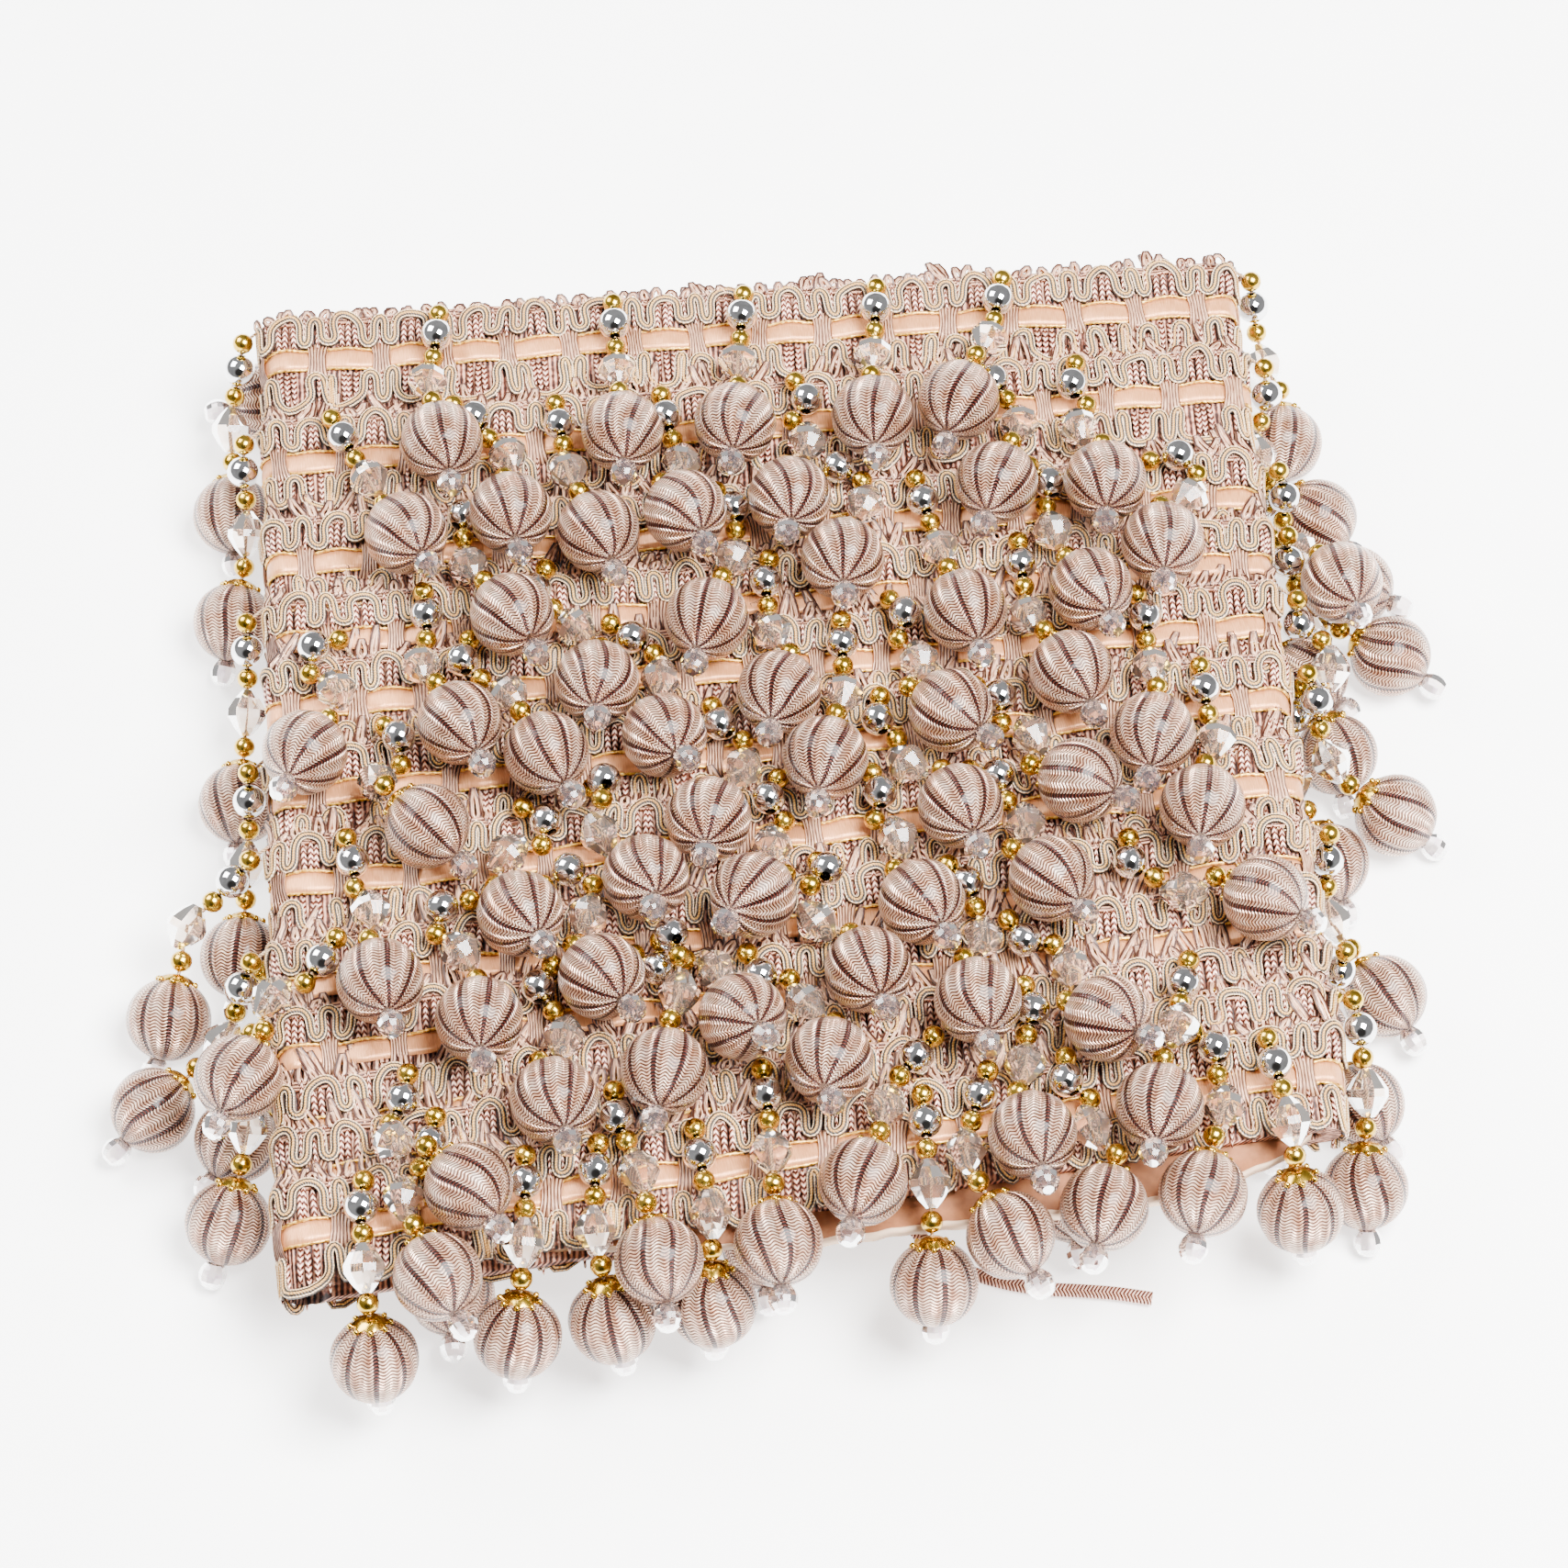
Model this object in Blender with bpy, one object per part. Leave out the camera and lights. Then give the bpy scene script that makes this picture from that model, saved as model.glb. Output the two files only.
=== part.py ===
"""Beaded fringe trim, wound twelve times round a flat card and lying on its back.

Lengths are in millimetres and are turned into metres where the meshes are made. +X runs along the
card's width, +Y towards the first turn and +Z up, with the surface that it lies on at Z = 0.
"""

import math

import bmesh
import bpy
import numpy as np

MM = 0.001

# The card and the trim's heading, which is wound round it
CORE_Z = 30.0
CARD_HALF_THICK = 1.5
CARD_HALF_WIDTH = 113.2
CARD_TOP = 118.0
SLOT_HALF_THICK = 1.8
SLOT_HALF_WIDTH = 113.5
FOLD_X = 116.0
HEADING_WIDTH = 28.0
LAYER_HIGH = 6.0
LAYER_LOW = 3.9

# The card's free lower edge, from left to right: x, y and how far it curls up
CARD_EDGE = (
    (-113.2, -128.0, 0.0),
    (-60.0, -130.0, 0.0),
    (-25.0, -132.0, 0.0),
    (0.0, -133.0, 0.6),
    (30.0, -131.0, 1.6),
    (72.0, -129.0, 0.4),
    (92.0, -125.0, 1.8),
    (101.0, -121.0, 0.8),
    (108.0, -118.0, 0.0),
    (113.2, -113.0, 0.0),
)

# The narrow edge that the drops hang from
STRIP_HALF_THICK = 0.7
STRIP_HALF_WIDTH = 1.5
STRIP_GAP = 0.3
STRIP_HALF_LENGTH = 112.0
STRIP_INSET = 1.0
STRIP_ARC_DEG = 72.0
STRIP_ARC_STEPS = 6

# A drop's stations: distance from its root, radius it needs, radius of its solid
STATIONS = (
    (0.0, 0.9, 1.2),
    (5.5, 2.8, 2.3),
    (12.4, 3.9, 3.8),
    (19.2, 3.0, 2.3),
    (27.6, 5.0, 4.8),
    (35.9, 3.0, 2.6),
    (49.9, 10.3, 10.0),
    (62.5, 3.3, 3.2),
)
GOLD_ABOVE_BALL = 5
BALL = 6
TIP = 7
REACH = 49.6
BALL_ON_FLOOR = 9.5
BALL_RINGS = (-8.3, -3.6, 3.6, 8.3)
TIP_RINGS = ((10.6, 2.6), (15.4, 2.4))
FLAT_SPOT = 1.3

# Front: each turn's upper edge at the left and right, then its drops as start x, ball x, ball y
TURNS = (
    (125, 127, ((-77, -77, 74), (-34, -34, 73), (-1, -7, 78), (32, 27, 72), (64, 48, 75))),
    (95, 101, ((-106, -87, 52), (-78, -58, 53), (-50, -39, 45), (-24, -22, 52), (12, 3, 56),
               (50, 56, 55), (78, 80, 56))),
    (66, 70, ((-64, -65, 20), (-14, -18, 18), (8, 16, 39), (36, 46, 17), (64, 74, 25),
              (92, 92, 35))),
    (43, 51, ((-84, -75, -1), (-50, -44, 8), (-3, 0, 1), (60, 70, -3))),
    (25, 33, ((-101, -112, -7), (-69, -54, -14), (-43, -29, -9), (16, 12, -20), (24, 38, -5),
              (88, 86, -18))),
    (1, 12, ((-97, -84, -29), (-13, -21, -33), (22, 40, -32), (47, 66, -26), (100, 95, -36))),
    (-23, -11, ((-104, -96, -69), (-66, -58, -52), (-48, -36, -47), (2, -11, -57), (16, 30, -58),
                (40, 56, -54))),
    (-50, -33, ((-104, -125, -89), (-72, -74, -80), (-58, -45, -68), (2, 14, -71), (34, 35, -85),
                (75, 107, -61))),
    (-68, -49, ((-53, -57, -101), (-42, -16, -86), (-34, -35, -97), (-10, 8, -97), (46, 71, -92))),
    (-87, -65, ((-90, -82, -125), (50, 47, -118), (90, 73, -115))),
    (-99, -76, ((-84, -82, -141), (-44, -39, -139), (-12, -10, -135), (32, 11, -127))),
    (-112, -87, ((-101, -100, -148), (-65, -65, -144), (-48, -46, -138), (-27, -26, -139),
                 (25, 25, -135), (44, 44, -134), (62, 62, -130), (84, 85, -130),
                 (104, 111, -128))),
)

# Sides: turn, then ball x, y and z for a drop that starts on that turn's fold
LEFT_DROPS = (
    (0, -131, 83, 10),
    (1, -133, 48, 10),
    (3, -132, -6, 10),
    (5, -134, -46, 10),
    (6, -148, -59, 12),
    (7, -151, -81, 10),
    (7, -133, -92, 14),
    (8, -137, -114, 10),
)
RIGHT_DROPS = (
    (0, 132, 85, 10),
    (1, 138, 64, 12),
    (2, 136, 38, 30),
    (2, 142, 42, 10),
    (3, 159, 18, 10),
    (3, 131, 19, 10),
    (4, 136, -3, 10),
    (5, 144, -21, 22),
    (5, 134, -37, 10),
    (7, 138, -69, 10),
    (9, 128, -100, 10),
    (10, 127, -117, 10),
)

# Where a fold's first and second drop start, as degrees up from its middle
FOLD_TILTS_DEG = (25.0, -11.0)

# Back: rows of drops that lie straight, each row set over by a third of a step
BACK_TURNS = 10
BACK_STEP = 72.0
BACK_FIRST = (-84.0, -60.0, -108.0)
BACK_COUNTS = (3, 3, 4)
BACK_SWUNG_BALL = (-124.0, 118.0)

# The loose tie on the surface: a cord's route from under the heading
TIE_ROUTE = (
    (14.0, -99.0, 21.0),
    (15.0, -103.5, 17.5),
    (17.0, -108.0, 12.0),
    (19.5, -112.5, 6.5),
    (22.5, -117.5, 3.0),
    (26.5, -122.5, 1.9),
    (31.5, -127.0, 1.8),
    (37.5, -130.5, 1.8),
    (44.5, -133.0, 1.8),
    (52.0, -134.6, 1.8),
    (60.0, -135.6, 1.8),
    (68.0, -136.8, 1.8),
    (76.0, -138.6, 1.8),
)
TIE_RADIUS = 1.5

# The middle of the bundle before it is centred on the origin
CENTRE = (0.3, -17.4)

# How finely the solids are cut
FACE_STEPS = 4
FOLD_STEPS = 4
TIE_STEP = 6.0
SOLID_STATIONS = (0, 2, 3, 4, 5)
PLAIN_STATIONS = (0, 2, 5)
BALL_SPREAD = 1.03
CARD_OPENING = 0.3

# How the heap settles: the steps, how far a step sinks and pulls, and the clearances it keeps
START_LIFT = 14.0
LAST_LIFT = 2.0
SETTLE_STEPS = 260
SINK_STEPS = 170
SINK = 0.45
PULL = 0.12
CLEAR = 0.9
SURFACE_CLEAR = 2.0
FACE_INSET = 4.0
CARD_INSET = 2.0
CARD_CLEAR = 2.2
CARD_RISE = 0.5
MIN_BEND = 0.86
BALL_YIELD = 0.3
NEAR = 4.0


def turn_edge(turn, x):
    """The y of a turn's upper edge at x; past the last turn, the last lower edge."""
    lower = HEADING_WIDTH if turn == len(TURNS) else 0.0
    left, right = TURNS[min(turn, len(TURNS) - 1)][:2]
    share = np.clip((x + FOLD_X) / (2 * FOLD_X), 0.0, 1.0)
    return left + (right - left) * share - lower


def card_edge(x):
    """The y of the card's lower edge at x."""
    table = np.array(CARD_EDGE)
    return np.interp(x, table[:, 0], table[:, 1])


def lay_out():
    """Every drop as group name, root point and where its ball is meant to lie."""
    drops = []
    front_z = CORE_Z + LAYER_HIGH + STRIP_GAP + STRIP_HALF_THICK
    back_z = 2 * CORE_Z - front_z
    reach = LAYER_HIGH + STRIP_GAP + STRIP_HALF_THICK
    for turn, (_, _, balls) in enumerate(TURNS):
        lift = LAST_LIFT if turn == len(TURNS) - 1 else START_LIFT
        for start, x, y in balls:
            root = (start, turn_edge(turn, start) - STRIP_INSET, front_z)
            drops.append((f"fringe_front_{turn + 1:02d}", root, (x, y, front_z + lift)))
    for side, sign, rows in (("left", -1, LEFT_DROPS), ("right", 1, RIGHT_DROPS)):
        seen = []
        for turn, x, y, z in rows:
            tilt = math.radians(FOLD_TILTS_DEG[seen.count(turn)])
            seen.append(turn)
            root_x = sign * (FOLD_X + reach * math.cos(tilt))
            root_z = CORE_Z + reach * math.sin(tilt)
            root = (root_x, turn_edge(turn, root_x) - STRIP_INSET, root_z)
            drops.append((f"fringe_{side}_{turn + 1:02d}", root, (x, y, z)))
    for turn in range(BACK_TURNS):
        for i in range(BACK_COUNTS[turn % 3]):
            start = BACK_FIRST[turn % 3] + BACK_STEP * i
            edge = turn_edge(turn, start) - STRIP_INSET
            ball = (start, edge - REACH)
            if turn == 0 and i == 0:
                ball = BACK_SWUNG_BALL
            name = f"fringe_back_{turn + 1:02d}"
            drops.append((name, (start, edge, back_z), (*ball, BALL_ON_FLOOR)))
    return drops


def push_out(points, half_x, low, high, core_z, clear):
    """Moves points out of a rounded plate that spans half_x each way and y from low to high."""
    core = points.copy()
    core[..., 0] = np.clip(core[..., 0], -half_x, half_x)
    core[..., 1] = np.clip(core[..., 1], low, high)
    core[..., 2] = core_z
    away = points - core
    far = np.maximum(np.linalg.norm(away, axis=-1), 1e-6)
    move = np.maximum(clear - far, 0.0) / far
    return points + away * move[..., None]


def settle(drops):
    """Lays the drops down until they rest on the heading, the surface and each other."""
    along = np.array([s[0] for s in STATIONS])
    radius = np.array([s[1] for s in STATIONS])
    weight = np.ones(len(STATIONS))
    weight[BALL] = BALL_YIELD
    weight[0] = 0.0
    roots = np.array([d[1] for d in drops], float)
    goals = np.array([d[2] for d in drops], float)
    ahead = goals - roots
    span = np.linalg.norm(ahead, axis=1, keepdims=True)
    goals = roots + ahead * np.minimum(1.0, REACH / span)
    share = along / along[BALL]
    points = roots[:, None, :] + (goals - roots)[:, None, :] * share[None, :, None]
    tie = np.array(TIE_ROUTE)
    count = len(drops) * len(STATIONS)
    radii = np.concatenate([np.tile(radius, len(drops)), np.full(len(tie), TIE_RADIUS + 0.3)])
    weights = np.concatenate([np.tile(weight, len(drops)), np.zeros(len(tie))])
    owner = np.concatenate([np.repeat(np.arange(len(drops)), len(STATIONS)),
                            np.full(len(tie), -1)])
    floor = radius.copy()
    floor[BALL] = BALL_ON_FLOOR
    pairs = None
    for step in range(SETTLE_STEPS):
        if step < SINK_STEPS:
            points[:, 1:, 2] -= SINK * (1.0 - 0.5 * step / SINK_STEPS)
            points[:, BALL, :2] += PULL * (goals[:, :2] - points[:, BALL, :2])
        if step % 8 == 0:
            flat = np.concatenate([points.reshape(-1, 3), tie])
            gap = flat[:, None, :] - flat[None, :, :]
            gap = np.sqrt((gap ** 2).sum(-1)) - radii[:, None] - radii[None, :]
            first, second = np.nonzero(np.triu(gap < NEAR, 1) & (owner[:, None] != owner[None, :]))
            keep = (weights[first] + weights[second]) > 0
            pairs = first[keep], second[keep]
        for _ in range(3):
            for i in range(len(STATIONS) - 1):
                join(points, weight, i, i + 1, along[i + 1] - along[i], False)
            for i in range(len(STATIONS) - 2):
                straight = along[i + 2] - along[i]
                if i == GOLD_ABOVE_BALL:
                    join(points, weight, i, i + 2, straight, False)
                else:
                    join(points, weight, i, i + 2, MIN_BEND * straight, True)
            spread_apart(points, tie, count, radii, weights, pairs)
            keep_off(points, radius, floor)
    return points


def join(points, weight, i, j, length, only_push):
    """Brings stations i and j of every drop to their distance."""
    apart = points[:, j] - points[:, i]
    far = np.maximum(np.linalg.norm(apart, axis=1, keepdims=True), 1e-6)
    change = far - length
    if only_push:
        change = np.minimum(change, 0.0)
    step = apart / far * change / (weight[i] + weight[j])
    points[:, i] += weight[i] * step
    points[:, j] -= weight[j] * step


def spread_apart(points, tie, count, radii, weights, pairs):
    """Parts every two beads or balls of different drops that meet."""
    first, second = pairs
    flat = np.concatenate([points.reshape(-1, 3), tie])
    apart = flat[second] - flat[first]
    far = np.maximum(np.linalg.norm(apart, axis=1), 1e-6)
    need = radii[first] + radii[second] + CLEAR - far
    hit = need > 0
    first, second, apart, far, need = first[hit], second[hit], apart[hit], far[hit], need[hit]
    total = weights[first] + weights[second]
    step = apart / far[:, None] * (need / total)[:, None]
    move = np.zeros_like(flat)
    times = np.zeros(len(flat))
    np.add.at(move, first, -step * weights[first][:, None])
    np.add.at(move, second, step * weights[second][:, None])
    np.add.at(times, first, 1)
    np.add.at(times, second, 1)
    move /= np.maximum(times, 1.0)[:, None] ** 0.6
    points += move[:count].reshape(points.shape)


def keep_off(points, radius, floor):
    """Keeps the stations off the heading, the card's free edge and the surface below."""
    free = points[:, 1:]
    low = turn_edge(len(TURNS), free[..., 0]) + FACE_INSET
    high = turn_edge(0, free[..., 0]) - FACE_INSET
    free = push_out(free, FOLD_X, low, high, CORE_Z, radius[1:] + LAYER_HIGH + SURFACE_CLEAR)
    low = card_edge(free[..., 0]) + CARD_INSET
    clear = radius[1:] + CARD_HALF_THICK + CARD_CLEAR
    free = push_out(free, CARD_HALF_WIDTH - CARD_INSET, low, CARD_TOP, CORE_Z + CARD_RISE, clear)
    points[:, 1:] = free
    points[:, 1:, 2] = np.maximum(points[:, 1:, 2], floor[1:])


def unit(vector):
    """The vector at length one."""
    return vector / np.linalg.norm(vector)


def ring(centre, side, up, half_width, half_height):
    """Four corners of a rectangular section."""
    corners = ((1, 1), (-1, 1), (-1, -1), (1, -1))
    return [centre + side * a * half_width + up * b * half_height for a, b in corners]


def round_ring(centre, side, up, radius, sides):
    """A regular section with a flat face below."""
    turns = [(i + 0.5) * 2 * math.pi / sides for i in range(sides)]
    return [centre + side * math.sin(t) * radius + up * math.cos(t) * radius for t in turns]


def skin(mesh, rings, closed=False):
    """Skins a row of sections, which may go from n corners to 2n or back."""
    rows = [[mesh.verts.new(p) for p in section] for section in rings]
    steps = list(zip(rows, rows[1:]))
    if closed:
        steps.append((rows[-1], rows[0]))
    for a, b in steps:
        few, many = (a, b) if len(a) <= len(b) else (b, a)
        n = len(few)
        for i in range(n):
            j = (i + 1) % n
            if len(many) == n:
                mesh.faces.new((few[i], few[j], many[j], many[i]))
            else:
                mesh.faces.new((few[i], many[2 * i + 1], many[2 * i]))
                k = (2 * i + 2) % len(many)
                mesh.faces.new((few[i], few[j], many[k], many[2 * i + 1]))
    if not closed:
        mesh.faces.new(rows[0])
        mesh.faces.new(rows[-1])


def new_object(name, mesh, material, collection):
    """Turns a built mesh, in millimetres, into an object in metres with its faces outward."""
    bmesh.ops.recalc_face_normals(mesh, faces=mesh.faces)
    bmesh.ops.scale(mesh, vec=(MM, MM, MM), verts=mesh.verts)
    data = bpy.data.meshes.new(name)
    mesh.to_mesh(data)
    mesh.free()
    made = bpy.data.objects.new(name, data)
    data.materials.append(material)
    collection.objects.link(made)
    return made


def loop_section(y_of, half_x, half_z):
    """A flat loop round the card: along the front, down a fold, along the back and up."""
    points = []
    for sign in (1, -1):
        for x in np.linspace(-sign * half_x, sign * half_x, FACE_STEPS + 1):
            points.append((x, sign * half_z))
        for i in range(1, FOLD_STEPS):
            angle = math.pi * i / FOLD_STEPS
            x = sign * (half_x + half_z * math.sin(angle))
            points.append((x, sign * half_z * math.cos(angle)))
    return [shifted((x, y_of(x), CORE_Z + z)) for x, z in points]


def shifted(point):
    """A point moved so that the whole bundle is centred on the origin."""
    return np.array(point, float) - np.array((*CENTRE, 0.0))


def make_heading(material, collection):
    """The wound heading: lapped turns round the card, each lying on the one before."""
    rings = []
    for turn in range(len(TURNS)):
        rings.append(loop_section(lambda x: turn_edge(turn, x), FOLD_X, LAYER_HIGH))
        rings.append(loop_section(lambda x: turn_edge(turn + 1, x), FOLD_X, LAYER_LOW))
    for turn in (len(TURNS), 0):
        rings.append(loop_section(lambda x: turn_edge(turn, x), SLOT_HALF_WIDTH, SLOT_HALF_THICK))
    mesh = bmesh.new()
    skin(mesh, rings, closed=True)
    return new_object("heading_wound", mesh, material, collection)


def make_card(material, collection):
    """The flat card in the middle, whose lower edge shows and curls a little."""
    rings = []
    for x, edge, curl in CARD_EDGE:
        bend = max(turn_edge(len(TURNS), x) - 0.6, edge + 1.2)
        profile = (
            (CARD_TOP, CARD_HALF_THICK),
            (bend, CARD_HALF_THICK),
            (edge, CARD_HALF_THICK + curl),
            (edge, curl * CARD_OPENING - CARD_HALF_THICK),
            (bend, -CARD_HALF_THICK),
            (CARD_TOP, -CARD_HALF_THICK),
        )
        rings.append([shifted((x, y, CORE_Z + z)) for y, z in profile])
    mesh = bmesh.new()
    skin(mesh, rings)
    return new_object("card", mesh, material, collection)


def straight_strip(turn, sign):
    """The sections of a turn's edge strip along the front (sign 1) or the back (sign -1)."""
    z = CORE_Z + sign * (LAYER_HIGH + STRIP_GAP + STRIP_HALF_THICK)
    across, up = np.array((0.0, 1.0, 0.0)), np.array((0.0, 0.0, 1.0))
    rings = []
    for x in (-STRIP_HALF_LENGTH, STRIP_HALF_LENGTH):
        centre = shifted((x, turn_edge(turn, x) - STRIP_INSET, z))
        rings.append(ring(centre, across, up, STRIP_HALF_WIDTH, STRIP_HALF_THICK))
    return rings


def fold_strip(turn, sign):
    """The sections of a turn's edge strip round the left (sign -1) or the right fold."""
    radius = LAYER_HIGH + STRIP_GAP + STRIP_HALF_THICK
    y = turn_edge(turn, sign * FOLD_X) - STRIP_INSET
    across = np.array((0.0, 1.0, 0.0))
    rings = []
    for degrees in np.linspace(-STRIP_ARC_DEG, STRIP_ARC_DEG, STRIP_ARC_STEPS + 1):
        angle = math.radians(degrees)
        out = np.array((sign * math.cos(angle), 0.0, math.sin(angle)))
        centre = shifted((sign * FOLD_X, y, CORE_Z)) + out * radius
        rings.append(ring(centre, across, out, STRIP_HALF_WIDTH, STRIP_HALF_THICK))
    return rings


def drop_sections(stations, plain):
    """The sections of one drop: a four-sided string of beads, an eight-sided ball and its tip."""
    heading = stations[BALL] - stations[0]
    level = unit(np.array((-heading[1], heading[0], 0.0)))
    axis = unit(stations[BALL] - stations[GOLD_ABOVE_BALL])
    centre = stations[BALL]
    places = []
    for i in PLAIN_STATIONS if plain else SOLID_STATIONS:
        ahead = axis if i == GOLD_ABOVE_BALL else stations[i + 1] - stations[max(i - 1, 0)]
        places.append((stations[i], ahead, STATIONS[i][2], 4))
    for offset in BALL_RINGS:
        radius = math.sqrt(STATIONS[BALL][2] ** 2 - offset ** 2) * BALL_SPREAD
        places.append((centre + axis * offset, axis, radius, 8))
    for offset, radius in TIP_RINGS[1:] if plain else TIP_RINGS:
        places.append((centre + axis * offset, axis, radius, 4))
    rings = []
    for point, ahead, radius, sides in places:
        side = unit(level - unit(ahead) * np.dot(level, unit(ahead)))
        section = round_ring(point, side, np.cross(side, unit(ahead)), radius, sides)
        for corner in section:
            corner[2] = 0.0 if corner[2] < FLAT_SPOT else corner[2]
        rings.append([shifted(corner) for corner in section])
    return rings


def make_fringe(name, turn, drops, material, parts, cutters):
    """One stretch of a turn's edge strip, fused with the drops that hang from it."""
    place = name.split("_")[1]
    if place in ("left", "right"):
        strip_rings = fold_strip(turn, -1 if place == "left" else 1)
    else:
        strip_rings = straight_strip(turn, -1 if place == "back" else 1)
    mesh = bmesh.new()
    skin(mesh, strip_rings)
    strip = new_object(name, mesh, material, parts)
    mesh = bmesh.new()
    for stations in drops:
        skin(mesh, drop_sections(stations, place == "back"))
    tool = new_object(name + "_drops", mesh, material, cutters)
    tool.hide_render = True
    tool.display_type = "WIRE"
    union = strip.modifiers.new("drops", "BOOLEAN")
    union.operation = "UNION"
    union.solver = "EXACT"
    union.object = tool
    return strip


def smooth_route(points, step):
    """Points at an even step along a smooth curve through the given ones."""
    points = np.array(points, float)
    ends = 2 * points[0] - points[1], 2 * points[-1] - points[-2]
    around = np.vstack([ends[0], points, ends[1]])
    fine = []
    for a, b, c, d in zip(around, around[1:], around[2:], around[3:]):
        for t in np.arange(0.0, 1.0, 0.1):
            fine.append(0.5 * (2 * b + (c - a) * t + (2 * a - 5 * b + 4 * c - d) * t ** 2
                               + (3 * b - a - 3 * c + d) * t ** 3))
    fine.append(points[-1])
    fine = np.array(fine)
    run = np.concatenate([[0.0], np.cumsum(np.linalg.norm(np.diff(fine, axis=0), axis=1))])
    places = np.linspace(0.0, run[-1], max(2, round(run[-1] / step) + 1))
    return np.stack([np.interp(places, run, fine[:, i]) for i in range(3)], axis=1)


def make_tie(material, collection):
    """The loose end of the tie, from under the heading to the surface."""
    curve = bpy.data.curves.new("tie_end", "CURVE")
    curve.dimensions = "3D"
    curve.bevel_depth = TIE_RADIUS * MM
    curve.bevel_resolution = 2
    curve.use_fill_caps = True
    route = smooth_route(TIE_ROUTE, TIE_STEP)
    spline = curve.splines.new("POLY")
    spline.points.add(len(route) - 1)
    for point, place in zip(spline.points, route):
        point.co = (*(shifted(place) * MM), 1.0)
    curve.materials.append(material)
    tie = bpy.data.objects.new("tie_end", curve)
    collection.objects.link(tie)
    return tie


def make_material(name, colour, roughness, metallic=0.0):
    """A plain finish."""
    material = bpy.data.materials.new(name)
    material.use_nodes = True
    shader = material.node_tree.nodes["Principled BSDF"]
    shader.inputs["Base Color"].default_value = (*colour, 1.0)
    shader.inputs["Roughness"].default_value = roughness
    shader.inputs["Metallic"].default_value = metallic
    return material


def new_collection(name):
    """A collection linked to the scene."""
    collection = bpy.data.collections.new(name)
    bpy.context.scene.collection.children.link(collection)
    return collection


def main():
    """Builds the whole bundle."""
    for old in list(bpy.data.objects):
        bpy.data.objects.remove(old, do_unlink=True)
    parts = new_collection("beaded_fringe_trim")
    cutters = new_collection("joined_shapes")
    cutters.hide_render = True
    braid = make_material("braid", (0.62, 0.44, 0.34), 0.6)
    thread = make_material("wrapped_thread", (0.66, 0.52, 0.44), 0.35)
    board = make_material("card_board", (0.50, 0.28, 0.16), 0.7)
    make_heading(braid, parts)
    make_card(board, parts)
    make_tie(braid, parts)
    drops = lay_out()
    stations = settle(drops)
    groups = {}
    for drop, places in zip(drops, stations):
        groups.setdefault(drop[0], []).append(places)
    for name, members in groups.items():
        make_fringe(name, int(name[-2:]) - 1, members, thread, parts, cutters)


main()
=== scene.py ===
"""Looks of the beaded fringe trim that is wound on a flat card.

The bundle is laid out in millimetres, as in the part's own source, and is moved to the frame and
turned into metres where a mesh is made. A turn of the heading is drawn on a map of its own: `along`
runs round the card from the front's middle to the right, and `below` runs down from the turn's
upper edge.
"""

import math

import bpy
import numpy as np
from mathutils import Matrix, Vector


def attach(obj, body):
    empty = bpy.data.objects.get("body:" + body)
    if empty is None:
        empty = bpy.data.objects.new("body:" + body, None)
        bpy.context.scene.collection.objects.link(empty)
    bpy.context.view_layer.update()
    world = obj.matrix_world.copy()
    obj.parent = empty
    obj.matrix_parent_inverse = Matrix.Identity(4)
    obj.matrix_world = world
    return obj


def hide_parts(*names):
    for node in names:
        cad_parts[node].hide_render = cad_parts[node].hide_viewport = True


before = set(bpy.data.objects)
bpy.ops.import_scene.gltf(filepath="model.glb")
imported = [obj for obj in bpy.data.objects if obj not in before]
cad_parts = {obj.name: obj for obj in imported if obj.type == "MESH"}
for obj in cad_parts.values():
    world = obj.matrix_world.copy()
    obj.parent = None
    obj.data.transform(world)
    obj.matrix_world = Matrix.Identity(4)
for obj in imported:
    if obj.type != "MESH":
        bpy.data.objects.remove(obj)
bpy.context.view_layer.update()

MM = 0.001
CENTRE = (0.3, -17.4)

# The photograph's frame and the view it was taken from
IMAGE_SIZE = 1708
FOCAL_PX = 5313.0
SENSOR_MM = 36.0
ELEVATION_DEG = 60.0
AZIMUTH_DEG = 3.8
CAMERA_DISTANCE = 1.150
CAMERA_TARGET = (-0.0008, 0.0019, 0.034)

# The card and the heading wound round it
CORE_Z = 30.0
CARD_HALF_THICK = 1.5
CARD_HALF_WIDTH = 113.2
CARD_TOP = 118.0
SLOT_HALF_THICK = 1.8
SLOT_HALF_WIDTH = 113.5
FOLD_X = 116.0
HEADING_WIDTH = 28.0
LAYER_HIGH = 6.0
LAYER_LOW = 3.9
FOLD_ARC = math.pi * LAYER_HIGH
FRONT_END = FOLD_X + FOLD_ARC
BACK_END = FRONT_END + 2 * FOLD_X

# The card's free lower edge, from left to right: x, y and how far it curls up
CARD_EDGE = (
    (-113.2, -128.0, 0.0),
    (-60.0, -130.0, 0.0),
    (-25.0, -132.0, 0.0),
    (0.0, -133.0, 0.6),
    (30.0, -131.0, 1.6),
    (72.0, -129.0, 0.4),
    (92.0, -125.0, 1.8),
    (101.0, -121.0, 0.8),
    (108.0, -118.0, 0.0),
    (113.2, -113.0, 0.0),
)

# The edge that the drops hang from
STRIP_HALF_THICK = 0.7
STRIP_GAP = 0.3
STRIP_INSET = 1.0

# A drop's stations: distance from its root and the radius it needs
STATIONS = (
    (0.0, 0.9),
    (5.5, 2.8),
    (12.4, 3.9),
    (19.2, 3.0),
    (27.6, 5.0),
    (35.9, 3.0),
    (49.9, 10.3),
    (62.5, 3.3),
)
GOLD_STATIONS = (1, 3, 5)
SILVER = 2
CRYSTAL = 4
GOLD_ABOVE_BALL = 5
BALL = 6
REACH = 49.6
BALL_ON_FLOOR = 9.5

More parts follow.
